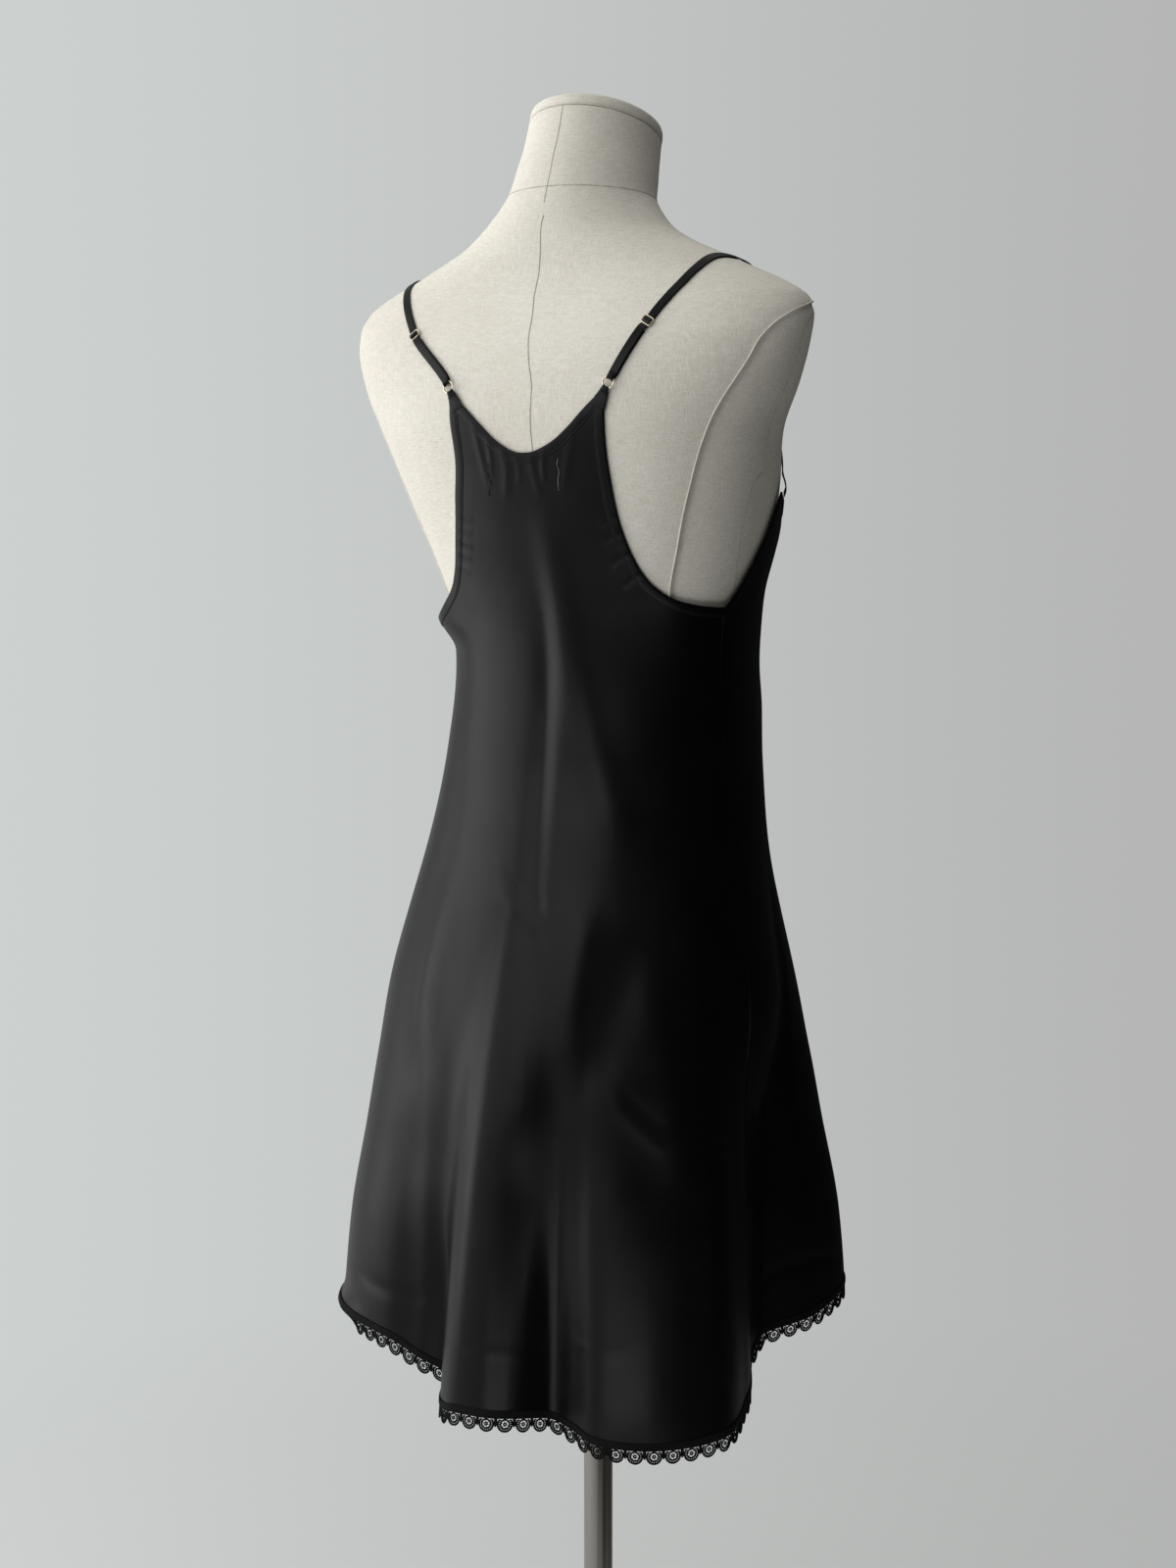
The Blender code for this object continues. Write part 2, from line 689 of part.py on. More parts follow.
def add_lace(name, first, last, lace):
    """Scallops hanging from the satin's edge, each with its open wheel cut through."""
    angles, lengths = hem_lengths(first, last)
    start, end = EDGE_GAP / 2, lengths[-1] - EDGE_GAP / 2
    count = round(lengths[-1] / SCALLOP_PITCH)
    pitch = (end - start) / count

    def hang(distance, drop):
        angle = float(np.interp(distance, lengths, angles))
        return cloth_point(angle, hem_height(angle) - drop)

    outline = ((0.0, EDGE_GAP), (0.5, EDGE_GAP), (1.0, EDGE_GAP), (1.0, NOTCH_DROP),
               (1.0 - SHOULDER_SHARE, SHOULDER_DROP), (0.5, LACE_DROP),
               (SHOULDER_SHARE, SHOULDER_DROP), (0.0, NOTCH_DROP))
    wheel_turns = [math.radians(135 - 45 * i) for i in range(len(outline))]
    shape = bmesh.new()
    for i in range(count):
        left = start + i * pitch
        outer = [shape.verts.new(hang(left + share * pitch, drop)) for share, drop in outline]
        wheel = [shape.verts.new(hang(left + pitch / 2 + WHEEL_RADIUS * math.cos(turn),
                                      WHEEL_DROP - WHEEL_RADIUS * math.sin(turn)))
                 for turn in wheel_turns]
        for j in range(len(outline)):
            k = (j + 1) % len(outline)
            shape.faces.new((outer[j], outer[k], wheel[k], wheel[j]))
    bmesh.ops.remove_doubles(shape, verts=shape.verts, dist=0.00001)
    thicken(add_object(name, mesh_from_bmesh(name, shape), lace), LACE)


# ------------------------------------------------------------------ straps and fittings
def form_depth(place):
    """How far a point is outside the form, sideways."""
    angle, height = onto_cloth(place)
    return (place - middle_at(height)).length - section_radius(FORM, angle, height)


def form_normal(place):
    step = 0.0005
    slope = [form_depth(place + step * axis) - form_depth(place - step * axis)
             for axis in (Vector((1, 0, 0)), Vector((0, 1, 0)), Vector((0, 0, 1)))]
    return Vector(slope).normalized()


def shoulder_place(turn, offset):
    """Where a ray from the hub line leaves the form."""
    hub = STRAP_HUB + Vector((offset, 0, 0))
    ray = Vector((0, -math.cos(math.radians(turn)), math.sin(math.radians(turn))))
    near, far = 0.0, 0.30
    for _ in range(40):
        middle = (near + far) / 2
        if form_depth(hub + ray * middle) < 0:
            near = middle
        else:
            far = middle
    return hub + ray * near


class Route:
    """A strap's way over the form, read by its length from the front point."""

    def __init__(self, table, side):
        turns = np.linspace(ROUTE_START, ROUTE_END, 161)
        self.places = [shoulder_place(turn, side * table.at("offset", turn)) for turn in turns]
        self.normals = [form_normal(place) for place in self.places]
        self.lengths = [0.0]
        for before, after in zip(self.places, self.places[1:]):
            self.lengths.append(self.lengths[-1] + (after - before).length)
        self.slider = float(np.interp(SLIDER_TURN, turns, self.lengths))
        self.ring = float(np.interp(RING_TURN, turns, self.lengths))
        self.start = float(np.interp(STRAP_START, [place.z for place in self.places[:40]],
                                     self.lengths[:40]))

    def read(self, vectors, length):
        return Vector([float(np.interp(length, self.lengths, [v[i] for v in vectors]))
                       for i in range(3)])

    def frame(self, length):
        """Point on the form, its normal and the direction of the route there."""
        reach = 0.003
        forward = self.read(self.places, length + reach) - self.read(self.places, length - reach)
        normal = self.read(self.normals, length).normalized()
        forward = (forward - normal * forward.dot(normal)).normalized()
        return self.read(self.places, length), normal, forward


def ribbon(name, route, profile, width, finish):
    """A strip whose inner face follows (length, lift, turns) stations above the route.

    Where `turns` is 1 or -1 the strip goes round its ring: it gathers, and it bends to follow the
    wire below or above it."""
    rows = []
    centre, ring_normal, ring_forward = route.frame(route.ring)
    for length, lift, turns in profile:
        half = (width + (LOOP_WIDTH - width) * abs(turns)) / 2
        bend = RING_RADIUS - math.sqrt(RING_RADIUS ** 2 - half ** 2)
        row = []
        for share in (-1, 0, 1):
            at = length + turns * bend * abs(share)
            place, normal, forward = route.frame(at)
            flat = centre + ring_forward * (at - route.ring)
            place = place.lerp(flat, abs(turns))
            normal = normal.lerp(ring_normal, abs(turns)).normalized()
            forward = forward.lerp(ring_forward, abs(turns)).normalized()
            row.append(place + normal * lift + forward.cross(normal) * half * share)
        rows.append(row)
    return sheet(name, rows, STRAP, finish)


def loop_round(wire_at, side):
    """Half a circle of stations round a wire, from its outer side to its inner side."""
    return [(wire_at + side * LOOP_RADIUS * math.sin(turn),
             RING_LIFT + LOOP_RADIUS * math.cos(turn), side)
            for turn in (math.pi * i / 7 for i in range(8))]


def evenly(first, last, lift, count):
    return [(first + (last - first) * i / (count - 1), lift, 0) for i in range(count)]


def add_strap(name, route, satin):
    """Front point, over the shoulder, through the slider, round the ring and back to the slider."""
    middle, half = route.slider, SLIDER_LENGTH / 2
    over = SLIDER_LIFT + SLIDER_BAR + SEAM_GAP
    under = STRAP_REST + STRAP
    wire_at = route.ring - RING_RADIUS - 0.00015
    loop = loop_round(wire_at, 1)
    low, high = middle + half + 0.004, wire_at - 0.004
    profile = [(length, lift + STRAP_STAND * (1 - smooth_step((length - route.start) / STRAP_BRIDGE)), 0)
               for length, lift, _ in evenly(route.start, middle - half - 0.002, STRAP_REST, 28)]
    profile += [(middle + at, lift, 0) for at, lift in (
        (-0.00200, STRAP_REST), (-0.00070, over), (0.00070, over), (0.00200, STRAP_REST),
        (half + 0.0010, STRAP_REST))]
    profile += evenly(low, high, DOUBLED_LIFT, 5)
    profile += [(wire_at - 0.0018, (DOUBLED_LIFT + loop[0][1]) / 2, 0.5)]
    profile += loop
    profile += [(wire_at - 0.0018, (under + loop[-1][1]) / 2, 0.5)]
    profile += evenly(high, low + 0.0005, under, 5)
    ribbon(name, route, profile, STRAP_WIDTH, satin)


def add_tab(name, route, satin):
    """The end of the armhole binding, folded over the ring's lower wire."""
    wire_at = route.ring + RING_RADIUS + 0.00015
    over = REST_GAP + SATIN + LIE_GAP + BINDING + SEAM_GAP
    loop = loop_round(wire_at, -1)
    profile = evenly(wire_at + TAB_LENGTH, wire_at + 0.004, over, 4)
    profile += [(wire_at + 0.0018, (over + loop[0][1]) / 2, -0.5)]
    profile += loop
    profile += [(wire_at + 0.0020, loop[-1][1], -0.5)]
    ribbon(name, route, profile, TAB_WIDTH, satin)


def add_ring(name, route, metal):
    place, normal, forward = route.frame(route.ring)
    bpy.ops.mesh.primitive_torus_add(major_radius=RING_RADIUS, minor_radius=RING_WIRE,
                                     major_segments=20, minor_segments=6)
    ring = bpy.context.object
    ring.name = name
    ring.location = place + normal * RING_LIFT
    ring.rotation_euler = normal.to_track_quat("Z", "Y").to_euler()
    ring.data.shade_smooth()
    ring.data.materials.append(metal)
    for owner in list(ring.users_collection):
        owner.objects.unlink(ring)
    bpy.data.collections[GROUP].objects.link(ring)


def add_slider(name, route, metal):
    """A flat frame with a bar across its middle."""
    place, normal, forward = route.frame(route.slider)
    side = forward.cross(normal)
    half = SLIDER_LENGTH / 2
    lines = (-half, -half + SLIDER_BAR, -SLIDER_BAR / 2, SLIDER_BAR / 2, half - SLIDER_BAR, half)
    edges = (-SLIDER_WIDTH / 2, -SLIDER_WIDTH / 2 + SLIDER_BAR,
             SLIDER_WIDTH / 2 - SLIDER_BAR, SLIDER_WIDTH / 2)
    shape = bmesh.new()
    grid = [[shape.verts.new(place + forward * line + side * edge + normal * SLIDER_LIFT)
             for edge in edges] for line in lines]
    for i in range(len(lines) - 1):
        for j in range(len(edges) - 1):
            if j == 1 and i in (1, 3):
                continue
            shape.faces.new((grid[i][j], grid[i][j + 1], grid[i + 1][j + 1], grid[i + 1][j]))
    thicken(add_object(name, mesh_from_bmesh(name, shape), metal), SLIDER_BAR)


def build():
    for old in list(bpy.data.objects):
        bpy.data.objects.remove(old, do_unlink=True)
    group = bpy.data.collections.new(GROUP)
    bpy.context.scene.collection.children.link(group)

    satin = material("black_satin", (0.012, 0.012, 0.014), 0.38)
    lace = material("black_lace", (0.010, 0.010, 0.011), 0.8)
    linen = material("cream_linen", (0.72, 0.68, 0.60), 0.9)
    wood = material("varnished_wood", (0.30, 0.19, 0.10), 0.45)
    steel = material("brushed_steel", (0.45, 0.44, 0.42), 0.3, 1.0)
    gilt = material("pale_gilt", (0.72, 0.62, 0.46), 0.25, 1.0)

    add_form(linen, wood, steel)
    back = add_panel("dress_back", BACK, satin)
    front = add_panel("dress_front", FRONT, satin)
    both = [back, front]
    add_neck_binding("binding_neck_back", BACK, back, satin)
    add_neck_binding("binding_neck_front", FRONT, front, satin)
    add_armhole_binding("binding_armhole_left", BACK_LEFT_EDGE, FRONT_LEFT_EDGE, -1, both, satin)
    add_armhole_binding("binding_armhole_right", BACK_RIGHT_EDGE, FRONT_RIGHT_EDGE, 1, both, satin)
    add_lace("lace_back", LEFT_SEAM, RIGHT_SEAM, lace)
    add_lace("lace_front", RIGHT_SEAM, LEFT_SEAM + 360, lace)
    for word, table, side in (("left", LEFT_ROUTE, 1), ("right", RIGHT_ROUTE, -1)):
        route = Route(table, side)
        add_strap("strap_" + word, route, satin)
        add_tab("tab_" + word, route, satin)
        add_ring("ring_" + word, route, gilt)
        add_slider("slider_" + word, route, gilt)


build()
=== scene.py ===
"""The looks of a black satin slip dress that hangs on a linen dress form.

Metres, +Z up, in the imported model's frame: the front of the dress faces -Y and the wearer's left
is +X. Angles round the body are in degrees from the centre back towards the wearer's right: the
right side seam is at 80, the centre front at 180 and the left side seam at -90 or 270.
"""
import math

import bpy
import bmesh
import numpy as np
from mathutils import Matrix, Vector


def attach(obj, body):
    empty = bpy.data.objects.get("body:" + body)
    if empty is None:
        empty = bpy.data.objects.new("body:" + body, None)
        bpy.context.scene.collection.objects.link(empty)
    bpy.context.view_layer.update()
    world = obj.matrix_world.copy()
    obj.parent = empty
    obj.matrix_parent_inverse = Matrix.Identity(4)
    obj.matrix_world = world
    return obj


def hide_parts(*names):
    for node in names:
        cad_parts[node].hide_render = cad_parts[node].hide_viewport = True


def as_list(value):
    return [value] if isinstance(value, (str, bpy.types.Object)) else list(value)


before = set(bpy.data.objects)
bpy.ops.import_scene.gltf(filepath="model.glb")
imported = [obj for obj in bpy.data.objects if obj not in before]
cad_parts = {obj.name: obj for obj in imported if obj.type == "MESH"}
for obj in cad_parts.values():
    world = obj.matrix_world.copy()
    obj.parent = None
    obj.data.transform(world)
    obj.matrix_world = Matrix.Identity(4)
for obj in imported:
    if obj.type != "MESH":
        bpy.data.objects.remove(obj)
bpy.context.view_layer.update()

# ---- cloth sizes
SATIN = 0.0007           # wall of the two panels
REST_GAP = 0.0010        # between the form and the cloth that rests on it
BLEND = 0.004            # how softly the cloth leaves the form
FORM_BOTTOM = 0.665
HOLD_SLOPE = 1.5         # how fast the form's hold on the cloth ends below its bottom
BAND_WIDTH = 0.0080
SEAM_ALLOWANCE = 2.2     # half width of a side seam's allowance, in degrees round the body
SEAM_TUCK = 0.0005       # a panel's side edges lie this much further in
STITCH_STEP, STITCH_LENGTH, STITCH_RADIUS = 0.0024, 0.0016, 0.00022

STRAP = 0.0010           # thickness of a shoulder strap and of a tab
STRAP_WIDTH = 0.0073
STRAP_REST = 0.0005      # between the form and a strap
STRAP_STAND = 0.0008     # more than that at its front end, where it bridges the chest's hollow
STRAP_BRIDGE = 0.100     # length over which it settles onto the form
STRAP_LAP = 0.0035       # length of its front end, which is sewn on over the bands' tip
STRAP_LAP_RISE = 0.0023  # height of that end over the rest of the strap
STRAP_LAP_FALL = 0.016   # length over which it comes down
STRAP_SINK = 0.0030      # it lies this much further in where it crosses the arm plate
SINK_FADE_IN, SINK_FADE_OUT, SINK_END = 0.018, 0.025, 0.125    # lengths of that stretch

# ---- lace sizes; a drop is measured down from the satin's edge
SCALLOP_PITCH = 0.0150
LACE_DROP = 0.0120       # of a scallop's tip
NOTCH_DROP = 0.0078      # of the notch between two scallops
WHEEL_DROP = 0.0060      # of the centre of a wheel
WHEEL_RING = 0.0035      # radius of the ring round a wheel
RIM_RING = 0.00565       # radius of the scallop's rim, outside the small eyelets
HUB_RING = 0.0012        # radius of the little ring in the wheel
HEADER_TOP = 0.0050      # how far the lace's header reaches up over the satin
HEADER_BOTTOM = 0.0018   # and down below the satin edge
HEADER_RISE = 0.00085    # thickness of the header where it lies over the satin
THREAD, BRIDGE_THREAD, FINE_THREAD = 0.00076, 0.00052, 0.00024    # radii
THREAD_FLAT, POST_FLAT = 0.8, 0.38    # thickness of a thread and of a post over its width
POST = 0.00125           # half width of the post between two scallops
POST_START = 0.0004      # drop where a post comes out of the header
LAST_POST = 0.0009       # half width of the post that ends the lace
HEADER_TEETH = 6         # teeth along the header's top for each scallop
TOOTH_RISE = 0.0006
LACE_LIFT = 0.00040      # from the cloth's inner face to the middle of the hanging lace

# Under the left side the lace has curled in beneath the hem.
CURL_TURN = 75.0
CURL_FIRST, CURL_LAST, CURL_FADE = -86.0, -50.0, 8.0

# ---- fittings
RING_RADIUS = 0.0045     # to the middle of the wire
RING_WIRE = 0.00065      # wire radius
RING_LIFT = 0.0008 + STRAP + 0.0003 + RING_WIRE
LOOP_WIDTH = 0.0054      # a strap or tab gathers to this where it turns round a ring
LOOP_RADIUS = 0.0012     # inside of that turn
LOOP_PLAY = 0.00015      # between the loop and the wire
SLIDER_LENGTH, SLIDER_WIDTH, SLIDER_CORNER = 0.0074, 0.0098, 0.0016
SLIDER_WIRE = 0.00050    # wire radius
SLIDER_LIFT = STRAP_REST + STRAP + 0.0001 + SLIDER_WIRE
DOUBLED_LIFT = STRAP_REST + STRAP + 0.0002
TAB_LENGTH, TAB_WIDTH, TAB_FOOT_WIDTH = 0.0160, 0.0084, 0.0135
TAB_LIFT = REST_GAP + 0.0015    # of the tab's inner face over the form

# ---- mesh counts
FORM_SIDES = 300
PANEL_COLUMNS, SKIRT_ROWS, ARMHOLE_ROWS = 160, 205, 85

# ---- camera
VIEW_TURN = math.radians(30.0)    # from the centre back towards the wearer's right
VIEW_PITCH = math.radians(6.18)
VIEW_DISTANCE, VIEW_HEIGHT, VIEW_ASIDE = 1.95, 1.15, 0.0089
LENS_MM, SENSOR_MM = 54.0, 36.0


class Table:
    """Rows of named columns, read smoothly against the first column."""

    def __init__(self, columns, *numbers):
        names = columns.split()
        values = np.reshape(np.array(numbers, float), (-1, len(names)))
        self.places = values[:, 0]
        self.curves = {name: (heights, self.slopes(heights))
                       for name, heights in zip(names[1:], values.T[1:])}

    def slopes(self, heights):
        """Slopes of a curve that never overshoots its rows."""
        steps = np.diff(self.places)
        rises = np.diff(heights) / steps
        slopes = np.zeros(len(heights))
        for i in range(1, len(heights) - 1):
            if rises[i - 1] * rises[i] > 0:
                before = 2 * steps[i] + steps[i - 1]
                after = steps[i] + 2 * steps[i - 1]
                slopes[i] = (before + after) / (before / rises[i - 1] + after / rises[i])
        slopes[0], slopes[-1] = rises[0], rises[-1]
        return slopes

    def at(self, name, place):
        heights, slopes = self.curves[name]
        place = np.clip(place, self.places[0], self.places[-1])
        i = np.clip(np.searchsorted(self.places, place) - 1, 0, len(self.places) - 2)
        step = self.places[i + 1] - self.places[i]
        t = (place - self.places[i]) / step
        return (heights[i] * (1 + 2 * t) * (1 - t) ** 2 + heights[i + 1] * (3 - 2 * t) * t * t
                + step * (slopes[i] * t * (1 - t) ** 2 - slopes[i + 1] * (1 - t) * t * t))


# ---- shape tables
# The middle of each level section.
SPINE = Table("height centre_x centre_y",
    0.4, 0, 0,  0.8, 0, 0,  0.95, -0.002, 0,  1.05, -0.002, 0.002,  1.12, 0, 0.006,
    1.18, 0.004, 0.013,  1.23, 0.006, 0.022,  1.29, 0.002, 0.032,  1.33, -0.003, 0.036,
    1.365, -0.003, 0.036,  1.39, 0.001, 0.033,  1.42, 0, 0.026)

# Level sections of the torso: half widths to the side, front and back.
FORM = Table("height half_width front back squareness",
    0.665, 0.139, 0.096, 0.097, 2.2,
    0.7, 0.148, 0.104, 0.106, 2.2,
    0.765, 0.156, 0.107, 0.111, 2.2,
    0.83, 0.147, 0.104, 0.105, 2.2,
    0.9, 0.131, 0.101, 0.093, 2.2,
    0.97, 0.114, 0.093, 0.079, 2.2,
    1.005, 0.111, 0.092, 0.076, 2.2,
    1.05, 0.117, 0.104, 0.079, 2.2,
    1.1, 0.132, 0.126, 0.086, 2.3,
    1.15, 0.149, 0.143, 0.092, 2.3,
    1.19, 0.163, 0.13, 0.094, 2.3,
    1.23, 0.176, 0.1, 0.092, 2.4,
    1.265, 0.193, 0.088, 0.084, 2.4,
    1.295, 0.203, 0.074, 0.073, 2.4,
    1.313, 0.206, 0.064, 0.063, 2.3,
    1.328, 0.198, 0.057, 0.056, 2.3,
    1.339, 0.181, 0.052, 0.052, 2.3,
    1.351, 0.154, 0.05, 0.05, 2.3,
    1.363, 0.127, 0.049, 0.051, 2.3,
    1.375, 0.101, 0.05, 0.053, 2.2,
    1.388, 0.082, 0.052, 0.055, 2.1,
    1.402, 0.069, 0.054, 0.056, 2)

# The neck's sections, each tilted so that its front is lower than its back.
NECK = Table("height radius depth centre_y tilt",
    1.402, 0.069, 0.055, 0.031, 0,
    1.414, 0.061, 0.055, 0.026, 5,
    1.43, 0.058, 0.055, 0.019, 10,
    1.447, 0.0555, 0.054, 0.012, 15,
    1.466, 0.054, 0.054, 0.006, 18)

# How the cloth would hang free of the form.
DRAPE = Table("height half_width front back squareness",
    0.42, 0.191, 0.185, 0.18, 2,
    0.57, 0.184, 0.177, 0.165, 2,
    0.64, 0.175, 0.168, 0.157, 2,
    0.71, 0.166, 0.156, 0.147, 2.1,
    0.77, 0.162, 0.145, 0.136, 2.1,
    0.83, 0.15, 0.134, 0.122, 2.2,
    0.9, 0.138, 0.124, 0.104, 2.2,
    0.97, 0.129, 0.128, 0.089, 2.3,
    1.04, 0.124, 0.137, 0.083, 2.3,
    1.1, 0.13, 0.137, 0.085, 2.3,
    1.16, 0.138, 0.138, 0.085, 2.3,
    1.26, 0.13, 0.09, 0.078, 2.3)

# The hem, a row for each ridge and valley round it: the height of the lace tips, the distance of
# the cloth from the middle, and the height where that fold fades out.
HEM = Table("angle tip_height radius fades_at",
    -180, 0.5, 0.192, 0.86,
    -160, 0.499, 0.174, 0.84,
    -134, 0.497, 0.21, 0.94,
    -112, 0.493, 0.184, 0.86,
    -90, 0.487, 0.208, 0.94,
    -68, 0.482, 0.22, 1.1,
    -43, 0.474, 0.19, 0.9,
    -34, 0.462, 0.169, 0.84,
    -26, 0.452, 0.151, 0.8,
    -11, 0.4445, 0.191, 0.86,
    -5.5, 0.448, 0.198, 0.88,
    1.2, 0.4485, 0.1974, 0.88,
    6, 0.4485, 0.1956, 0.86,
    9.5, 0.4475, 0.1905, 0.84,
    18, 0.4415, 0.167, 0.8,
    23.5, 0.438, 0.1765, 0.8,
    28.5, 0.4332, 0.19, 0.84,
    34.5, 0.4316, 0.1965, 0.88,
    42, 0.4304, 0.201, 0.92,
    50, 0.431, 0.204, 0.97,
    57, 0.4334, 0.205, 1,
    72, 0.443, 0.176, 0.97,
    96, 0.459, 0.14, 0.95,
    104, 0.467, 0.142, 0.95,
    114, 0.479, 0.184, 0.96,
    130, 0.493, 0.216, 0.97,
    153, 0.498, 0.174, 0.84,
    180, 0.5, 0.192, 0.86)

# The left underarm edge stands away from the form by this much, over this stretch.
UNDERARM_STAND, UNDERARM_ANGLE, UNDERARM_REACH = 0.012, -74.0, 30.0
UNDERARM_HEIGHTS = (1.050, 1.077)
LEFT_SEAM, RIGHT_SEAM = -90.0, 80.0

# The edges of the two panels above the side seams, from underarm (0) to strap point (1).
BACK_LEFT_EDGE = Table("along angle height",
    0, -90, 1.074,  0.14, -72, 1.077,  0.28, -59, 1.0935,  0.42, -50.8, 1.1145,
    0.58, -44.3, 1.142,  0.72, -39.1, 1.173,  0.86, -35.3, 1.211,  1, -38, 1.2565)
BACK_RIGHT_EDGE = Table("along angle height",
    0, 80, 1.0882,  0.14, 69.5, 1.0902,  0.28, 59.5, 1.0958,  0.42, 50.2, 1.111,
    0.58, 43.8, 1.136,  0.72, 40.6, 1.1655,  0.86, 39.4, 1.206,  1, 40.6, 1.2565)
FRONT_RIGHT_EDGE = Table("along angle height",
    0, 80, 1.0882,  0.25, 86.5, 1.104,  0.5, 93, 1.125,  0.75, 99, 1.149,  1, 104.5, 1.18)
FRONT_LEFT_EDGE = Table("along angle height",
    0, 270, 1.074,  0.25, 266.5, 1.091,  0.5, 263, 1.116,  0.75, 259, 1.146,  1, 255.5, 1.18)

# The row of the panel that ends at the edge point `along` crosses the middle at this height.
BACK_MIDDLE = Table("along height",
    0, 1.03,  0.42, 1.086,  1, 1.209)
FRONT_MIDDLE = Table("along height",
    0, 1.02,  0.5, 1.07,  1, 1.14)

# How a row rises from the middle to each of its two ends, as a share of the whole rise.
BACK_SCOOP = Table("across first last",
    0, 0, 0,  0.1, 0.012, 0.01,  0.2, 0.06, 0.05,  0.4, 0.235, 0.18,  0.6, 0.5, 0.4,
    0.8, 0.765, 0.7,  1, 1, 1)
FRONT_SCOOP = Table("across first last",
    0, 0, 0,  0.1, 0.02, 0.02,  0.2, 0.075, 0.075,  0.4, 0.23, 0.23,  0.6, 0.44, 0.44,
    0.8, 0.7, 0.7,  1, 1, 1)

# The straps' routes over the shoulder: the turn goes from the front (0) over the top (90) to the
# back, about a line across the chest at the hub's height; the offset is the distance from the
# middle.
STRAP_HUB = 1.200
LEFT_ROUTE = Table("turn offset",
    -10, 0.159,  20, 0.153,  50, 0.147,  95, 0.149,  112, 0.144,  130, 0.12,  150, 0.074,
    162, 0.061)
RIGHT_ROUTE = Table("turn offset",
    -10, 0.151,  20, 0.146,  50, 0.141,  95, 0.144,  112, 0.132,  130, 0.1,  150, 0.072,
    162, 0.059)
ROUTE_START, ROUTE_END = -45.0, 164.0
SLIDER_TURN, RING_TURN = 131.5, 150.5
STRAP_START = 1.1815     # height of a strap's front end, at the tip of the front panel

